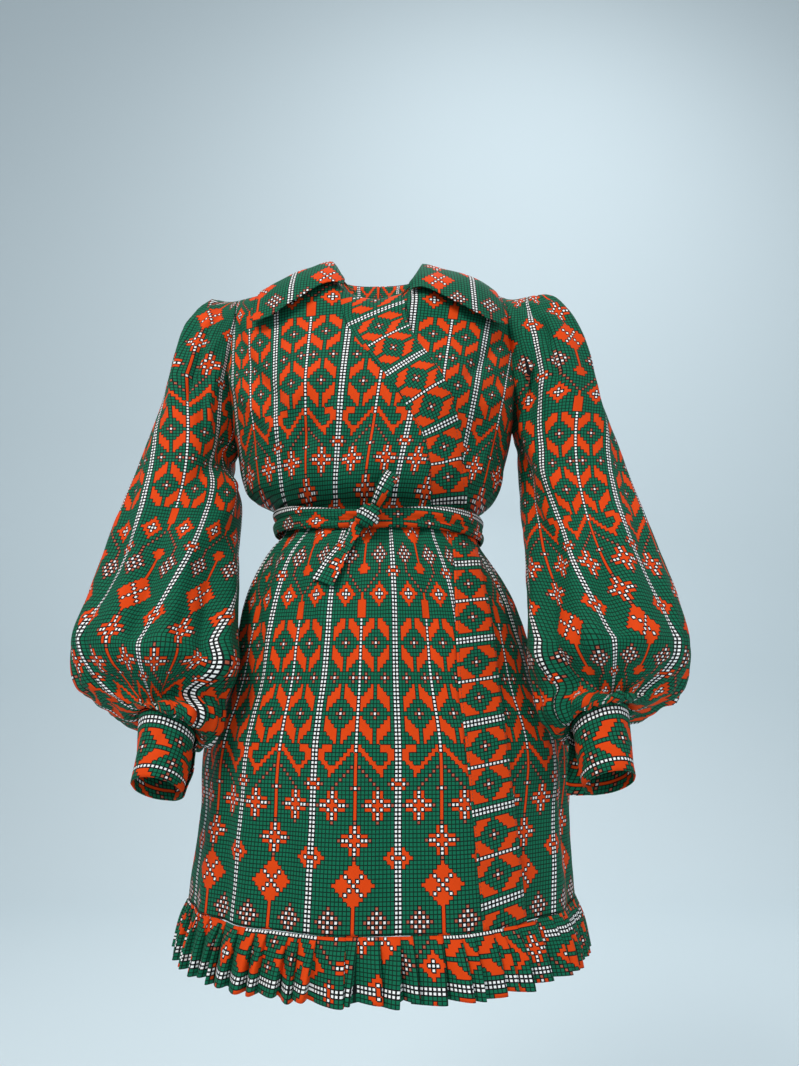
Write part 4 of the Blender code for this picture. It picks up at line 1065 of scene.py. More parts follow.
def makeCuff(name, rings, side, flare):
    # a strip round the wrist whose end laps over its start and stands off by the flare
    columns, count = round(cuffSet["columns"] / fine), round(cuffSet["rows"] / fine)
    table = [(i,) + ring for i, ring in enumerate(rings)]
    rows, cells, heights = [], [], []
    for r in range(count + 1):
        down = 2.0 * r / count
        ringX, ringY, ringZ, half, rise, depth, tilt = read(table, down)
        forward = Vector((0, -math.cos(math.radians(tilt)), math.sin(math.radians(tilt))))
        girth = 2 * math.pi * half * cuffSet["lapTurn"] / 360
        row, line, lifts = [], [], []
        for i in range(columns + 1):
            share = i / columns
            turn = math.radians(cuffSet["startTurn"] + cuffSet["lapTurn"] * share)
            flared = flare * smooth((share - cuffSet["flareFrom"]) / cuffSet["flareOver"])
            lapped = smooth((share - cuffSet["lapFrom"]) / cuffSet["lapOver"])
            out = cuffSet["lapHeight"] * lapped + flared * down / 2
            row.append(Vector((ringX, ringY, ringZ))
                       - Vector((side, 0, rise / half)) * (half + out) * math.cos(turn)
                       + forward * (depth + out) * math.sin(turn))
            # the cuff is cut across the cloth, so the stripes run round it
            line.append((down * cuffSet["tall"] / printSet["cellWide"] + cuffSet["firstColumn"],
                         share * girth / printSet["cellTall"] + cuffSet["firstRow"]))
            lifts.append(creases(cuffSet["folds"], share * girth, down * cuffSet["tall"])
                         + undulate(row[-1], cuffSet["slow"], cuffSet["quick"]))
        rows.append(row if side > 0 else row[::-1])
        cells.append(line if side > 0 else line[::-1])
        heights.append(lifts if side > 0 else lifts[::-1])
    rows = lifted(rows[::-1], heights[::-1])
    makeSheet(name, rows, cells[::-1], clothSet["wall"], [name])


# Skirt and its ruffle
skirtSections = (
    (-0.3530, 0.116, 0.111, 0.095, 0.081),
    (-0.372, 0.123, 0.112, 0.102, 0.087),
    (-0.385, 0.135, 0.117, 0.109, 0.096),
    (-0.402, 0.148, 0.129, 0.118, 0.107),
    (-0.425, 0.160, 0.144, 0.127, 0.118),
    (-0.455, 0.170, 0.159, 0.134, 0.127),
    (-0.495, 0.176, 0.171, 0.140, 0.134),
    (-0.545, 0.184, 0.184, 0.145, 0.139),
    (-0.610, 0.205, 0.212, 0.151, 0.145),
    (-0.690, 0.2065, 0.2105, 0.160, 0.153),
    (-0.778, 0.2135, 0.2130, 0.170, 0.163),
)
skirtSeam = ((0.078, -0.3530), (0.078, -0.430), (0.078, -0.547), (0.083, -0.592), (0.088, -0.662),
             (0.096, -0.778))
skirtEdge = ((0.104, -0.3530), (0.112, -0.430), (0.120, -0.480), (0.125, -0.542), (0.131, -0.616),
             (0.137, -0.678), (0.144, -0.778))
# Hanging folds: angle from the front, spread, height at the hem
hangingFolds = (
    (-158.0, 10.0, 0.008), (-131.0, 8.0, 0.010), (-108.0, 7.0, 0.006), (-80.0, 9.0, 0.003),
    (-57.0, 6.0, 0.006), (-38.0, 7.0, 0.005), (-12.0, 9.0, 0.004), (22.0, 8.0, 0.005),
    (58.0, 7.0, 0.006), (83.0, 9.0, 0.005), (112.0, 8.0, 0.007), (140.0, 9.0, 0.010),
    (171.0, 8.0, 0.008),
)
# Skirt: its ends and sides, where its hanging folds grow, where its layers' gathers, sinking and
# lift start (in degrees, each with the width over which it changes), then where its print lies
skirtSet = {
    "waist": -0.3533, "hem": -0.7780, "underX": -0.040, "side": 89.96, "seamTurn": 0.05,
    "hangFrom": -0.40, "hangOver": 0.36, "foldsFrom": 0.003, "foldsOver": 0.02, "widthAt": -0.7,
    "gathersFrom": 66.0, "gathersOver": 12.0, "sinkFrom": 50.0, "sinkOver": 14.0,
    "liftFrom": -55.0, "liftOver": 22.0,
    "row0": -0.478, "bandFirst": -0.499, "bandLean": 0.15,
    "right": (5.0, 5.0), "left": (70.0, 55.0), "back": (180.0, 180.0),    # stripe: waist, hem
}
# Gathers below the waist: height, waves round the body, where they start and how low they reach
gatherSet = {
    "height": 0.0042, "waves": ((0.55, 22, 1.4, 3, 0.0), (0.45, 37, 1.9, 2, 0.7)),
    "top": -0.3500, "topOver": 0.008, "from": -0.360, "reach": -0.440,
    "reachWaves": ((0.028, 5, 1.0), (0.018, 11, 0.0)),
}
# Soft folds of the skirt: angle and height of both ends, width, height, bow
skirtFolds = wideFolds((
    (-70, -0.380, -62, -0.560, 0.008, 0.0030, 0.004),
    (-58, -0.372, -50, -0.500, 0.006, -0.0030, 0.003),
    (-46, -0.370, -40, -0.540, 0.007, 0.0030, 0.003),
    (-34, -0.370, -30, -0.480, 0.006, -0.0032, 0.002),
    (-22, -0.374, -20, -0.520, 0.006, 0.0026, 0.002),
    (-8, -0.376, -10, -0.470, 0.006, -0.0030, 0.000),
    (6, -0.376, 2, -0.500, 0.006, 0.0026, -0.002),
    (20, -0.374, 14, -0.560, 0.007, -0.0028, -0.003),
    (66, -0.372, 62, -0.500, 0.006, -0.0030, -0.002),
    (78, -0.374, 74, -0.560, 0.007, 0.0028, -0.003),
    (-84, -0.430, -60, -0.640, 0.012, -0.0030, 0.008),
    (-52, -0.560, -46, -0.770, 0.010, -0.0028, 0.004),
    (-26, -0.580, -24, -0.772, 0.010, -0.0026, 0.003),
    (4, -0.600, 6, -0.772, 0.011, -0.0026, 0.003),
    (70, -0.560, 72, -0.770, 0.011, -0.0034, 0.004),
    (98, -0.372, 104, -0.520, 0.008, -0.0034, 0.003),
    (112, -0.374, 118, -0.580, 0.009, 0.0032, 0.003),
    (128, -0.372, 130, -0.540, 0.008, -0.0036, 0.002),
    (146, -0.374, 150, -0.600, 0.009, 0.0030, 0.003),
    (160, -0.372, 160, -0.520, 0.007, -0.0034, 0.000),
    (178, -0.374, 176, -0.590, 0.009, 0.0030, -0.002),
    (-166, -0.372, -166, -0.530, 0.008, -0.0034, 0.000),
    (-148, -0.374, -152, -0.600, 0.009, 0.0032, -0.003),
    (-134, -0.372, -134, -0.510, 0.007, -0.0034, 0.000),
    (-118, -0.374, -122, -0.570, 0.009, 0.0030, -0.003),
    (-102, -0.372, -104, -0.540, 0.008, -0.0034, -0.002),
    (122, -0.600, 124, -0.772, 0.012, -0.0040, 0.003),
    (156, -0.560, 155, -0.772, 0.012, -0.0044, 0.003),
    (-172, -0.600, -174, -0.772, 0.012, -0.0040, -0.003),
    (-144, -0.580, -145, -0.772, 0.012, -0.0044, -0.003),
    (-96, -0.560, -95, -0.772, 0.010, -0.0030, -0.003),
))


def skirtPoint(angle, z, gathered=1.0):
    right, left, front, back = read(skirtSections, z)
    turn = math.radians(angle)
    x = (right if math.sin(turn) < 0 else left) * math.sin(turn)
    depth = front if math.cos(turn) > 0 else back
    point = Vector((x, -depth * math.cos(turn), z))
    grown = smooth((skirtSet["hangFrom"] - z) / skirtSet["hangOver"])
    out = sum(height * bump(turned(angle - fold), spread)
              for fold, spread, height in hangingFolds) * grown
    reach = gatherSet["reach"]
    for size, count, start in gatherSet["reachWaves"]:
        reach += size * math.sin(turn * count + start)
    fade = 1.0 - smooth((gatherSet["from"] - z) / (gatherSet["from"] - reach))
    fade *= smooth((gatherSet["top"] - z) / gatherSet["topOver"])
    out += gatherSet["height"] / 2 * (1.0 + waves(turn, gatherSet["waves"])) * fade * gathered
    return point + Vector((point.x, point.y, 0)).normalized() * out


def smoothSkirtPoint(angle, z):
    gathered = smooth((angle - skirtSet["gathersFrom"]) / skirtSet["gathersOver"])
    return skirtPoint(angle, z, gathered)


def underSkirtPoint(angle, z):
    sunk = clothSet["sink"] * (1.0 - smooth((angle - skirtSet["sinkFrom"]) / skirtSet["sinkOver"]))
    return movedOut(smoothSkirtPoint, angle, z, -sunk)


def skirtLift(angle):
    return clothSet["lap"] * smooth((angle - skirtSet["liftFrom"]) / skirtSet["liftOver"])


def overSkirtPoint(angle, z):
    return movedOut(skirtPoint, angle, z, skirtLift(angle))


def skirtAngle(x, z):
    right, left = read(skirtSections, z)[:2]
    return math.degrees(math.asin(x / (right if x < 0 else left)))


def lineAngle(line, z):
    return skirtAngle(read([(lineZ, x) for x, lineZ in line], z)[0], z)


hemAngles = range(-200, 281, 4)      # past half a turn each way, as far as the pieces reach


def makeHemArc():
    # distance round the hem, by angle
    table, arc, before = [], 0.0, None
    for angle in hemAngles:
        turn = math.radians(angle)
        depth = skirtSections[-1][3] if math.cos(turn) > 0 else skirtSections[-1][4]
        point = Vector((skirtSections[-1][1] * math.sin(turn), -depth * math.cos(turn)))
        arc += (point - before).length if before else 0.0
        before = point
        table.append((float(angle), arc))
    return table


hemArc = makeHemArc()


def skirtCells(angle, z, side):
    waist, hem = skirtSections[0][0], skirtSections[-1][0]
    stripe = lerp(*skirtSet[side], min(max((waist - z) / (waist - hem), 0.0), 1.0))
    return ((read(hemArc, angle)[0] - read(hemArc, stripe)[0]) / printSet["cellWide"],
            (skirtSet["row0"] - z) / printSet["cellTall"])


def makeSkirtPiece(name, start, end, surface, cellOf):
    tall = steps(skirtSet["waist"] - skirtSet["hem"], clothSet["spacing"])
    # one column a degree
    wide = steps(abs(end(skirtSet["widthAt"]) - start(skirtSet["widthAt"])), 1.0)
    rows, heights, cells = [], [], []
    for r in range(tall + 1):
        z = lerp(skirtSet["hem"], skirtSet["waist"], r / tall)
        first, last = start(z), end(z)
        row, lifts, line = [], [], []
        for c in range(wide + 1):
            angle = lerp(first, last, c / wide)
            point = surface(angle, z)
            row.append(point)
            near = smooth((skirtSet["waist"] + skirtSet["foldsFrom"] - z) / skirtSet["foldsOver"])
            uneven = undulate(point, clothSet["slow"], clothSet["quick"])
            lifts.append(near * (foldsAt(skirtFolds, angle, z) + uneven))
            line.append(cellOf(angle, z, point))
        rows.append(row)
        heights.append(lifts)
        cells.append(line)
    makeSheet(name, lifted(rows, heights), cells, clothSet["wall"], [name])


def makeSkirt():
    side, seamTurn = skirtSet["side"], skirtSet["seamTurn"]
    makeSkirtPiece("skirt_front_right", lambda z: -side, lambda z: lineAngle(skirtSeam, z) - seamTurn,
                   overSkirtPoint, lambda a, z, p: skirtCells(a, z, "right"))
    seam = [(z, x) for x, z in skirtSeam]
    edge = [(z, x) for x, z in skirtEdge]

    def bandCells(angle, z, point):
        off = point.x - (read(seam, z)[0] + read(edge, z)[0]) / 2
        along = z - skirtSet["bandLean"] * off
        return ((skirtSet["bandFirst"] - along) / printSet["cellWide"],
                off / printSet["cellTall"] + printSet["bandMiddle"])

    makeSkirtPiece("skirt_band", lambda z: lineAngle(skirtSeam, z) + seamTurn,
                   lambda z: lineAngle(skirtEdge, z), overSkirtPoint, bandCells)
    makeSkirtPiece("skirt_front_left", lambda z: skirtAngle(skirtSet["underX"], z), lambda z: side,
                   underSkirtPoint, lambda a, z, p: skirtCells(a, z, "left"))
    makeSkirtPiece("skirt_back", lambda z: 180.0 - side, lambda z: 180.0 + side, skirtPoint,
                   lambda a, z, p: skirtCells(a, z, "back"))


ruffleSections = ((-0.7781, 0.0000, 0.0000, 0.0005), (-0.798, 0.0010, 0.0050, 0.0040),
                  (-0.8300, 0.0010, 0.0115, 0.0068))
# The pleats' widths, depths, lean and drop each vary by a sine, or two, of the pleat's number.
# sideClose is how many degrees the end pleats reach past the side seams.
ruffleSet = {
    "pleats": 75, "rows": 15, "wall": 0.0008, "end": 46.0, "underStart": 8.0, "sideClose": 0.45,
    "pressed": 0.2, "pressedPast": 2.0, "endOver": 1.5, "middle": -0.815,
    "widths": ((0.22, 2.3), (0.10, 5.1)), "depths": ((0.22, 1.7), (0.12, 4.3)),
    "lean": (0.9, 2.9, 0.5), "drop": (0.0016, 3.7),
    "firstRow": 4.0, "printTall": 0.0555, "column": 11.05, "underShift": 8.0,
}
# One knife pleat: share of its width and height, its folded edge hanging over the next one
knifePleat = ((0.00, -0.90), (0.08, -0.72), (0.20, -0.42), (0.34, -0.10), (0.50, 0.25),
              (0.66, 0.58), (0.80, 0.84), (0.91, 0.99), (1.00, 1.04), (1.045, 0.90),
              (1.050, 0.45), (1.025, -0.10), (1.005, -0.60))


def rufflePoint(angle, z, pleat, kept):
    wide, deep, height = read(ruffleSections, z)
    point = skirtPoint(angle, skirtSet["hem"])
    outward = Vector((point.x, point.y, 0)).normalized()
    growth = lerp(wide, deep, abs(outward.y))
    return Vector((point.x, point.y, z)) + outward * (growth + height * (pleat + 1.0) * kept), outward


def varied(mean, number, table):
    return sum((size * math.sin(number * turn) for size, turn in table), mean)


def makeRuffle(name, start, end, lift, pressedTo=-180.0, rowShift=0.0):
    # knife pleats of uneven width and depth, each leaning a little its own way towards the hem
    pleats = ruffleSet["pleats"]
    leanSize, leanTurn, leanStart = ruffleSet["lean"]
    dropSize, dropTurn = ruffleSet["drop"]
    edges = [varied(i, i, ruffleSet["widths"]) * 360.0 / pleats for i in range(-pleats, 2 * pleats)]
    places = []
    for i, (low, high) in enumerate(zip(edges, edges[1:])):
        depth = varied(1.0, i, ruffleSet["depths"])
        lean = leanSize * math.sin(i * leanTurn + leanStart)
        for share, height in knifePleat:
            angle = lerp(low, high, share)
            if start < angle < end:
                places.append((angle, height * depth, lean, i))
    count = round(ruffleSet["rows"] / fine)
    lengths, before = [], None
    for angle, pleat, lean, i in places:
        point = rufflePoint(angle, ruffleSet["middle"], pleat, 1.0)[0]
        lengths.append(lengths[-1] + (point - before).length if before else 0.0)
        before = point
    rows, cells = [], []
    for r in range(count + 1):
        z = lerp(ruffleSections[-1][0], ruffleSections[0][0], r / count)
        row, line = [], []
        down = 1.0 - r / count
        # cut across the cloth, so its stripe runs along the hem
        column = down * ruffleSet["printTall"] / printSet["cellWide"] + ruffleSet["column"] + rowShift
        for k, (angle, pleat, lean, i) in enumerate(places):
            kept = ruffleSet["pressed"] if angle < pressedTo else 1.0
            inside = smooth((angle - start) / ruffleSet["endOver"])
            inside *= smooth((end - angle) / ruffleSet["endOver"])
            drop = dropSize * math.sin(i * dropTurn) * down * inside
            point, outward = rufflePoint(angle + lean * down * inside, z - drop, pleat, kept)
            row.append(point + outward * lift(angle))
            line.append((column, lengths[k] / printSet["cellTall"] + ruffleSet["firstRow"]))
        rows.append(row)
        cells.append(line)
    makeSheet(name, rows, cells, ruffleSet["wall"], [name])


def makeRuffles():
    close = ruffleSet["sideClose"]
    makeRuffle("ruffle_front_right", -90.0 - close, ruffleSet["end"], skirtLift)
    makeRuffle("ruffle_front_left", ruffleSet["underStart"], 90.0 + close, lambda angle: 0.0,
               ruffleSet["end"] + ruffleSet["pressedPast"], ruffleSet["underShift"])
    makeRuffle("ruffle_back", 90.0 - close, 270.0 + close, lambda angle: 0.0)


# Collar: turn round the neck from the front, then the outer edge's place across, its height, and
# how far it stands off the bodice
collarEdge = (
    (-26.0, -0.1560, -0.1120, 0.0120), (-50.0, -0.1555, -0.0880, 0.0080),
    (-72.0, -0.1530, -0.0620, 0.0060), (-90.0, -0.1440, -0.0410, 0.0050),
    (-112.0, -0.1230, -0.0480, 0.0050), (-140.0, -0.0800, -0.0540, 0.0050),
    (-180.0, -0.0090, -0.0560, 0.0050), (-220.0, 0.0620, -0.0540, 0.0050),
    (-248.0, 0.1100, -0.0460, 0.0050), (-270.0, 0.1330, -0.0400, 0.0050),
    (-288.0, 0.1400, -0.0600, 0.0060), (-312.0, 0.1430, -0.0870, 0.0085),
    (-338.0, 0.1440, -0.1110, 0.0130),
)
standHeight = ((20.0, 0.0015), (60.0, 0.0035), (90.0, 0.0060), (130.0, 0.0200), (180.0, 0.0280))
# The stand leans in towards a point above the neck and stands up from the sides to the back; the
# wings' ends, up to so many degrees from the front, sag and start lower; then the cloth's
# unevenness and where the print lies
collarSet = {
    "columns": 190, "rows": 22, "neckEnd": 89.5, "below": 1.996, "turnStep": 2.0, "leansTo": 0.05,
    "standRoom": 0.0026, "standOff": 0.0036, "standUp": 1.2, "upFrom": 45.0, "upOver": 45.0,
    "standShares": (1.0, 0.8, 0.6, 0.4, 0.2, 0.0), "start": 0.12, "sag": 0.026, "arch": 0.006,
    "wingTo": 22.0, "wingOver": 30.0, "foldRoom": 0.0024, "foldPower": 1.4,
    "calm": 0.4, "slow": 0.0014, "quick": 0.0007,
    "dotRowAt": -0.090, "stripeAt": 0.110, "standTurn": 0.45, "standTall": 6.0, "standRow": 40.0,
}
fallEdge = [(-row[0],) + row[1:] for row in collarEdge]


def neckSurface(turn, share=0.0, edge=None):
    # a place on the shoulders between the neckline (share 0) and an outer edge (share 1), and the
    # outward direction there
    turn = turned(turn)
    inFront = abs(turn) <= 90.0
    angle = turn if inFront else math.copysign(180.0, turn) - turn
    across, level = neckPlace(min(max(angle, -collarSet["neckEnd"]), collarSet["neckEnd"]), inFront)
    if edge:
        edgeAcross, edgeLevel = placeOf(*edge, inFront)
        across, level = lerp(across, edgeAcross, share), lerp(level, edgeLevel, share)
    level = min(level, collarSet["below"])

    def surface(u, v):
        if not inFront:
            return backPoint(-u, v)
        return overPoint(u, v) if turn < bodiceSet["underNeckAngle"] else underPoint(u, v)

    point = surface(across, level)
    out = movedOut(surface, across, level, 1.0) - point
    return point, out if out.z > 0.0 or inFront == (out.y < 0.0) else -out


def standBase(turn):
    point, out = neckSurface(turn)
    along = neckSurface(turn + collarSet["turnStep"])[0] - neckSurface(turn - collarSet["turnStep"])[0]
    inward = along.cross(out).normalized()
    if inward.dot(Vector((bodiceSet["neckX"], 0.0, collarSet["leansTo"])) - point) < 0.0:
        inward = -inward
    halfTurn = abs(turned(turn))
    rising = collarSet["standUp"] * smooth((halfTurn - collarSet["upFrom"]) / collarSet["upOver"])
    up = (out + Vector((0, 0, rising))).normalized()
    foot = point + inward * collarSet["standRoom"] + out * collarSet["standOff"]
    return point, out, foot, up * read(standHeight, halfTurn)[0]


def collarCells(place):
    # the print lies straight on the wings, which are cut as a pair with a stripe on each
    return ((abs(place.x) - collarSet["stripeAt"]) / printSet["cellWide"],
            (collarSet["dotRowAt"] - place.z) / printSet["cellTall"] + printSet["dotDiamond"][1])


def makeCollar():
    count = round(collarSet["columns"] / fine)
    first, last = collarEdge[0][0], collarEdge[-1][0]
    turns = [lerp(first, last, i / count) for i in range(count + 1)]
    bases = [standBase(turn) for turn in turns]
    shares = collarSet["standShares"]
    standRows = [[foot + rise * share for _, _, foot, rise in bases] for share in shares]
    standCells = [[(turn * collarSet["standTurn"], collarSet["standRow"] - share * collarSet["standTall"])
                   for turn in turns] for share in shares]
    makeSheet("collar_stand", standRows, standCells, clothSet["wall"], ["collar_stand"])

    rows, cells = [], []
    deep = round(collarSet["rows"] / fine)
    for r in range(deep + 1):
        share = r / deep
        row, line = [], []
        for turn, (neck, neckOut, foot, rise) in zip(turns, bases):
            edgeX, edgeZ, standOff = read(fallEdge, -turn)
            fold = foot + rise + neckOut * collarSet["foldRoom"]
            nearEnd = 1.0 - smooth((abs(turned(turn)) - collarSet["wingTo"]) / collarSet["wingOver"])
            sag = collarSet["sag"] * math.sin(math.pi * share) * nearEnd
            at = lerp(collarSet["start"] * nearEnd, 1.0, share)
            point, out = neckSurface(turn, at, (edgeX, edgeZ - sag))
            arch = standOff * share + collarSet["arch"] * math.sin(math.pi * share)
            place = point + out * arch + (fold - neck) * (1.0 - share) ** collarSet["foldPower"]
            row.append(place)
            line.append(collarCells(place))
        rows.append(row)
        cells.append(line)
    heights = [[lerp(collarSet["calm"], 1.0, r / deep) * undulate(p, collarSet["slow"], collarSet["quick"])
                for p in row] for r, row in enumerate(rows)]
    makeSheet("collar_fall", lifted(rows, heights), cells, clothSet["wall"], ["collar_fall"])


# Belt
beltSet = {
    "right": 0.1330, "left": 0.1207, "front": 0.1140, "back": 0.0990,
    "rightZ": -0.3505, "leftZ": -0.3605, "frontZ": -0.3650, "height": 0.030, "heightAtKnot": 0.020,
    "knotAngle": -6.0, "knotSpread": 42.0, "wall": 0.0009, "columns": 260, "rows": 14,
    "shift": 0.14, "shiftTurns": 1.5, "shiftStart": 0.6, "degreeWide": 0.0021, "foldTall": 0.026,
    "slow": 0.0006, "quick": 0.0005, "column": 16.4, "stripeDrop": -2.6, "firstRow": 11.0,
    "folds": ((-0.120, 0.006, -0.030, 0.012, 0.0030, -0.0022, 0.001),
              (-0.230, 0.010, -0.090, 0.016, 0.0028, -0.0020, -0.001),
              (-0.060, 0.020, -0.012, 0.014, 0.0028, -0.0020, 0.000),
              (0.110, 0.008, 0.020, 0.013, 0.0030, -0.0022, 0.001),
              (0.220, 0.016, 0.080, 0.020, 0.0028, -0.0020, -0.001),
              (0.260, 0.006, 0.330, 0.014, 0.0030, -0.0020, 0.001),
              (-0.330, 0.014, -0.250, 0.006, 0.0030, -0.0020, 0.001)),
}
# The knot: middle, half sizes, the slope of its rolls and how they swell, and its print
knotSet = {
    "middle": Vector((-0.0140, -0.1270, -0.3650)), "size": (0.0135, 0.0112, 0.0125), "wall": 0.0006,
    "rows": 34, "columns": 56, "slant": (0.55, 0.85), "rolls": (0.10, 7.5), "groove": (0.16, 0.12, 0.13),
    "crossing": (0.9, -0.4), "crossRolls": (0.05, 11.0),
    "print": (3.0, 23.0), "printAcross": (0.85, -0.5), "printDown": (4.0, 30.0),
}
loopSet = {
    "columns": 64, "rows": 14, "start": 0.0138, "along": Vector((0.50, 0.0, 0.866)),
    "across": Vector((0.866, 0.0, -0.50)), "pinch": 0.0018, "pinchWave": 13.0, "pinchTo": 0.030,
    "wide": 5.2, "column": 24.2, "long": 0.085, "firstRow": 8.0,
}
# The free end stands off the skirt by one height at the knot and another where it lies flat
tailSet = {
    "rows": 26, "columns": 12, "across": Vector((0.90, 0.0, -0.36)), "high": 0.0131, "low": 0.0062,
    "fallFrom": -0.374, "fallOver": 0.018, "wave": 0.0012, "waveTurn": 9.0, "waveKept": 0.5,
    "wide": 7.4, "column": 25.4, "long": 18.0, "firstRow": 34.0,
}
beltProfile = ((0.0, 0.0000), (0.12, 0.0022), (0.30, 0.0030), (0.44, 0.0006), (0.52, 0.0016),
               (0.74, 0.0034), (0.90, 0.0026), (1.0, 0.0002))
loopPath = ((0.0000, -0.0030, 0.010), (0.0120, -0.0129, 0.013), (0.0260, -0.0153, 0.016),
            (0.0360, -0.0125, 0.017), (0.0395, -0.0083, 0.017), (0.0360, -0.0051, 0.017),
            (0.0260, -0.0037, 0.016), (0.0120, -0.0025, 0.013), (0.0000, 0.0022, 0.010))
tailPath = ((-0.024, -0.378, 0.010), (-0.032, -0.392, 0.014), (-0.041, -0.408, 0.019),
            (-0.051, -0.424, 0.024), (-0.060, -0.441, 0.028))


def alongPath(path, share):
    return read([(i / (len(path) - 1),) + tuple(row) for i, row in enumerate(path)], share)


def makeBelt():
    columns, count = round(beltSet["columns"] / fine), round(beltSet["rows"] / fine)
    rows, cells = [], []
    for r in range(count + 1):
        share = r / count
        row, line = [], []
        for i in range(columns + 1):
            angle = 360.0 * i / columns - 180.0
            turn = math.radians(angle)
            half = beltSet["right"] if math.sin(turn) < 0 else beltSet["left"]
            depth = beltSet["front"] if math.cos(turn) > 0 else beltSet["back"]
            near = bump(turned(angle - beltSet["knotAngle"]), beltSet["knotSpread"])
            height = lerp(beltSet["height"], beltSet["heightAtKnot"], near)
            sideZ = lerp(beltSet["rightZ"], beltSet["leftZ"], 0.5 + 0.5 * math.sin(turn))
            z = lerp(sideZ, beltSet["frontZ"], near) + (share - 0.5) * height
            # the upper layer crosses the lower one on its way round
            shift = beltSet["shift"] * math.sin(turn * beltSet["shiftTurns"] + beltSet["shiftStart"])
            out = read(beltProfile, min(max(share + shift * math.sin(math.pi * share), 0.0), 1.0))[0]
            along = angle * beltSet["degreeWide"]
            out += creases(beltSet["folds"], along, share * beltSet["foldTall"])
            point = Vector(((half + out) * math.sin(turn), -(depth + out) * math.cos(turn), z))
            bumps = undulate(point, beltSet["slow"], beltSet["quick"])
            row.append(point + Vector((point.x, point.y, 0)).normalized() * bumps)
            column = share * beltSet["height"] / printSet["cellWide"] + beltSet["column"]
            line.append((column + beltSet["stripeDrop"] * near,
                         along / printSet["cellTall"] + beltSet["firstRow"]))
        rows.append(row)
        cells.append(line)
    makeSheet("belt_wrap", rows, cells, beltSet["wall"], ["belt_wrap"])


def makeKnot():
    # the belt's end wraps twice over the crossing, so the knot has two slanting rolls
    rows, cells = [], []
    tall, wide = round(knotSet["rows"] / fine), round(knotSet["columns"] / fine)
    rollSize, rollTurn = knotSet["rolls"]
    grooveSize, grooveAt, grooveWide = knotSet["groove"]
    crossSize, crossTurn = knotSet["crossRolls"]
    for r in range(tall + 1):
        up = math.pi * (r / tall - 0.5)
        row, line = [], []
        for c in range(wide + 1):
            turn = 2 * math.pi * c / wide
            x, y, z = math.cos(up) * math.sin(turn), -math.cos(up) * math.cos(turn), math.sin(up)
            slant, crossing, across = (x * knotSet[name][0] + z * knotSet[name][1]
                                       for name in ("slant", "crossing", "printAcross"))
            rolls = rollSize * math.cos(slant * rollTurn) - grooveSize * bump(slant - grooveAt, grooveWide)
            rolls += crossSize * math.cos(crossing * crossTurn)
            grown = 1.0 + rolls * math.cos(up)
            row.append(knotSet["middle"] + Vector(
                (n * size * grown for n, size in zip((x, y, z), knotSet["size"]))))
            line.append((slant * knotSet["print"][0] + knotSet["print"][1],
                         across * knotSet["printDown"][0] + knotSet["printDown"][1]))
        rows.append(row)
        cells.append(line)
    makeSheet("belt_knot", rows, cells, knotSet["wall"], ["belt_knot"])


def makeLoop():
    start = knotSet["middle"] + loopSet["along"] * loopSet["start"]
    long, wide = round(loopSet["columns"] / fine), round(loopSet["rows"] / fine)
    rows, cells = [], []
    for r in range(wide + 1):
        share = r / wide - 0.5
        row, line = [], []
        for c in range(long + 1):
            out, back, width = alongPath(loopPath, c / long)
            pinched = loopSet["pinch"] * math.cos(share * loopSet["pinchWave"])
            pinched *= 1.0 - smooth(out / loopSet["pinchTo"])
            row.append(start + loopSet["along"] * out + Vector((0, back + pinched, 0))
                       + loopSet["across"] * width * share)
            line.append((share * loopSet["wide"] + loopSet["column"],
                         c / long * loopSet["long"] / printSet["cellTall"] + loopSet["firstRow"]))
        rows.append(row)
        cells.append(line)
    makeSheet("belt_loop", rows, cells, beltSet["wall"], ["belt_loop"])


def makeTail():
    # the free end lies on the skirt, so it is made from the skirt's points, moved out
    long, wide = round(tailSet["rows"] / fine), round(tailSet["columns"] / fine)
    rows, cells = [], []
    for r in range(long + 1):
        x, z, width = alongPath(tailPath, r / long)
        across = tailSet["across"] * width
        row, line = [], []
        for c in range(wide + 1):
            share = c / wide - 0.5
            atX, atZ = x + across.x * share, z + across.z * share
            fallen = smooth((tailSet["fallFrom"] - atZ) / tailSet["fallOver"])
            height = lerp(tailSet["high"], tailSet["low"], fallen)
            wave = tailSet["wave"] * math.cos(share * tailSet["waveTurn"])
            height += wave * lerp(1.0, tailSet["waveKept"], r / long)
            row.append(movedOut(overSkirtPoint, skirtAngle(atX, atZ), atZ, height))
            line.append((share * tailSet["wide"] + tailSet["column"],
                         r / long * tailSet["long"] + tailSet["firstRow"]))
        rows.append(row)
        cells.append(line)
    makeSheet("belt_tail", rows[::-1], cells[::-1], beltSet["wall"], ["belt_tail"])


makeFronts()
makeBack()
print("bodice made")
makeSleeve("sleeve_right", -1, sleeveRight, troughsRight, foldsRight)
makeSleeve("sleeve_left", 1, sleeveLeft, troughsLeft, foldsLeft)
makeCuff("cuff_right", cuffSet["right"], -1, 0.0)
makeCuff("cuff_left", cuffSet["left"], 1, cuffSet["flareLeft"])
print("sleeves and cuffs made")
makeSkirt()
makeRuffles()
print("skirt and ruffle made")
makeCollar()
makeBelt()
makeKnot()
makeLoop()
makeTail()
print("collar and belt made")

# Sewing: a row of short stitches beside each long edge of the bands, laid on the finished cloth
stitchSet = {
    "long": 0.0022, "pitch": 0.0034, "half": 0.00026, "high": 0.00030, "inset": 0.0026, "from": -0.60,
    "colour": (0.0030, 0.0560, 0.0300, 1.0), "roughness": 0.55, "twistScale": 900.0, "twistDepth": 0.0001,
    "skirtShift": 0.0028,     # the skirt's cloth lies this far outside the lines its band is drawn from
    "skirt": (-0.384, -0.772), "bodice": (-0.122, -0.340),    # top and bottom of the rows
}


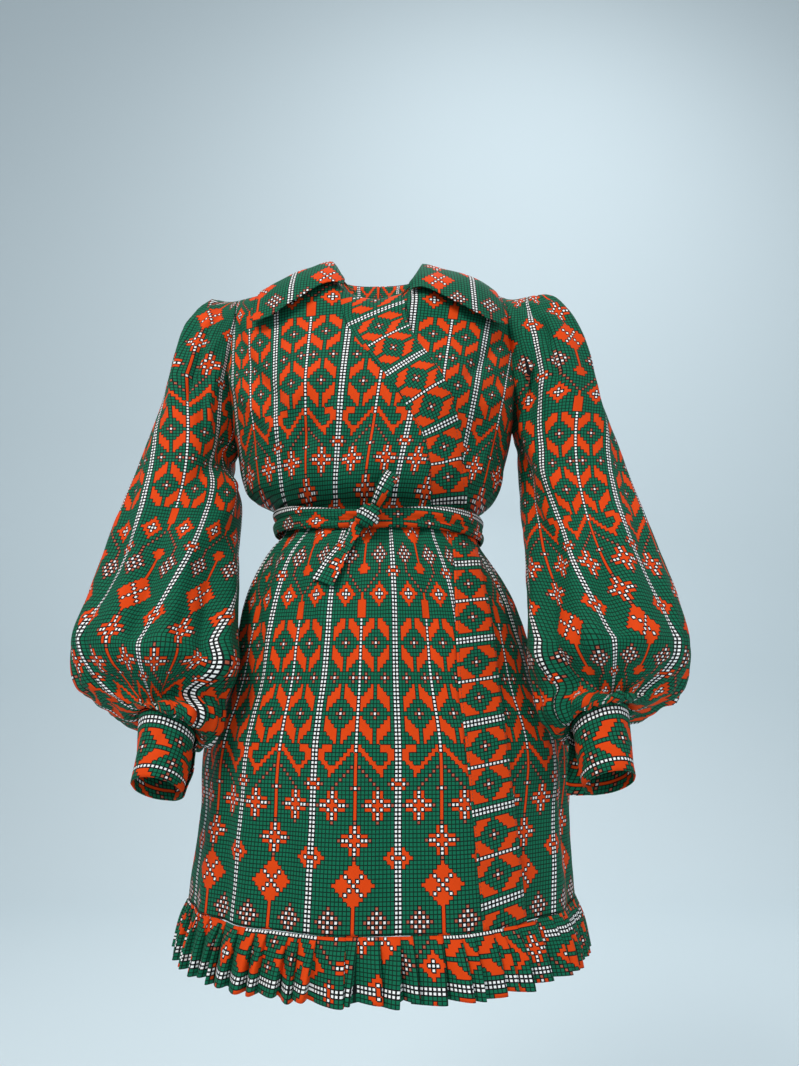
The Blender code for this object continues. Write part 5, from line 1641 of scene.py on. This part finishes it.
def makeThread():
    material = bpy.data.materials.new("sewing thread")
    material.use_nodes = True
    tree = material.node_tree
    shader = tree.nodes["Principled BSDF"]
    shader.inputs["Base Color"].default_value = stitchSet["colour"]
    shader.inputs["Roughness"].default_value = stitchSet["roughness"]
    twist = tree.nodes.new("ShaderNodeTexWave")
    twist.bands_direction = "DIAGONAL"
    twist.inputs["Scale"].default_value = stitchSet["twistScale"]
    relief = tree.nodes.new("ShaderNodeBump")
    relief.inputs["Distance"].default_value = stitchSet["twistDepth"]
    tree.links.new(twist.outputs["Fac"], relief.inputs["Height"])
    tree.links.new(relief.outputs["Normal"], shader.inputs["Normal"])
    return material


def makeStitches(name, cloth, line, inset, top, bottom):
    # each stitch is a small ridge between two places on the cloth, found from in front of it
    worn = pieces[cloth].evaluated_get(bpy.context.evaluated_depsgraph_get())
    table = sorted((z, x) for x, z in line)
    vertices, faces = [], []
    for i in range(int((top - bottom) / stitchSet["pitch"])):
        ends = []
        for z in (top - i * stitchSet["pitch"], top - i * stitchSet["pitch"] - stitchSet["long"]):
            start = Vector((read(table, z)[0] + inset, stitchSet["from"], z))
            hit, place, normal = worn.ray_cast(start, Vector((0.0, 1.0, 0.0)))[:3]
            if hit:
                ends.append((place, normal))
        if len(ends) < 2:
            continue
        (a, normal), b = ends[0], ends[1][0]
        side = (b - a).cross(normal).normalized() * stitchSet["half"]
        middle = (a + b) / 2 + normal * stitchSet["high"]
        n = len(vertices)
        vertices += [a - side, a + side, b + side, b - side, middle - side * 0.5, middle + side * 0.5]
        faces += [(n, n + 1, n + 5, n + 4), (n + 2, n + 3, n + 4, n + 5),
                  (n + 1, n + 2, n + 5), (n + 3, n, n + 4), (n, n + 3, n + 2, n + 1)]
    mesh = bpy.data.meshes.new(name)
    mesh.from_pydata([tuple(point) for point in vertices], [], faces)
    mesh.materials.append(sewingThread)
    sewn = bpy.data.objects.new(name, mesh)
    bpy.context.scene.collection.objects.link(sewn)
    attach(sewn, "root")


sewingThread = makeThread()
inset, shift = stitchSet["inset"], stitchSet["skirtShift"]
makeStitches("stitches_skirt_seam", "skirt_band", skirtSeam, shift + inset, *stitchSet["skirt"])
makeStitches("stitches_skirt_edge", "skirt_band", skirtEdge, shift - inset, *stitchSet["skirt"])
makeStitches("stitches_bodice_seam", "bodice_band", bandSeam, inset, *stitchSet["bodice"])
makeStitches("stitches_bodice_edge", "bodice_band", bandEdge, -inset, *stitchSet["bodice"])
print("bands sewn")


for piece in pieces.values():
    piece.data.materials.append(printedCotton)


# Studio: a pale floor that curves up into a pale wall, and soft light
studioSet = {
    "floorZ": -1.45, "nearY": -5.0, "wallY": 3.6, "wallTop": 4.0, "half": 6.0, "curve": 1.0, "steps": 12,
    "colour": (0.680, 0.765, 0.800, 1.0), "roughness": 0.9,
}


def makeStudio():
    floorZ, wallY, curve = studioSet["floorZ"], studioSet["wallY"], studioSet["curve"]
    count, half = studioSet["steps"], studioSet["half"]
    outline = [(studioSet["nearY"], floorZ), (wallY - curve, floorZ)]
    for i in range(1, count + 1):
        turn = math.radians(90.0 * i / count)
        outline.append((wallY - curve + curve * math.sin(turn), floorZ + curve * (1 - math.cos(turn))))
    outline.append((wallY, studioSet["wallTop"]))
    points = [(x, y, z) for y, z in outline for x in (-half, half)]
    faces = [(2 * i, 2 * i + 1, 2 * i + 3, 2 * i + 2) for i in range(len(outline) - 1)]
    mesh = bpy.data.meshes.new("studio")
    mesh.from_pydata(points, [], faces)
    mesh.shade_smooth()
    studio = bpy.data.objects.new("studio", mesh)
    bpy.context.scene.collection.objects.link(studio)
    material = bpy.data.materials.new("studio paper")
    material.use_nodes = True
    shader = material.node_tree.nodes["Principled BSDF"]
    shader.inputs["Base Color"].default_value = studioSet["colour"]
    shader.inputs["Roughness"].default_value = studioSet["roughness"]
    mesh.materials.append(material)


lightSet = {
    "key": ((-1.2, -1.9, 1.5), (0.0, 0.0, -0.42), 1.1, 56.0, (1.0, 0.98, 0.95)),
    "fill": ((1.9, -2.0, 0.2), (0.0, 0.0, -0.42), 1.8, 16.0, (0.93, 0.97, 1.0)),
    "back": ((0.4, 2.4, 1.8), (0.0, 0.0, -0.42), 2.0, 30.0, (1.0, 1.0, 1.0)),
    "wall": ((0.9, 1.2, 2.9), (0.5, 3.6, 0.4), 3.2, 44.0, (0.95, 0.98, 1.0)),
    "world": ((0.80, 0.88, 0.94, 1.0), 0.48),
}


def makeLights():
    for name in ("key", "fill", "back", "wall"):
        place, towards, size, power, colour = lightSet[name]
        data = bpy.data.lights.new(name, "AREA")
        data.shape = "DISK"
        data.size = size
        data.energy = power
        data.color = colour
        light = bpy.data.objects.new(name, data)
        light.location = place
        light.rotation_euler = (Vector(towards) - Vector(place)).to_track_quat("-Z", "Y").to_euler()
        bpy.context.scene.collection.objects.link(light)
    world = bpy.data.worlds.new("studio air")
    bpy.context.scene.world = world
    world.use_nodes = True
    background = world.node_tree.nodes["Background"]
    background.inputs["Color"].default_value, background.inputs["Strength"].default_value = lightSet["world"]
    bpy.context.scene.view_settings.view_transform = "Standard"


makeStudio()
makeLights()
print("studio lit")
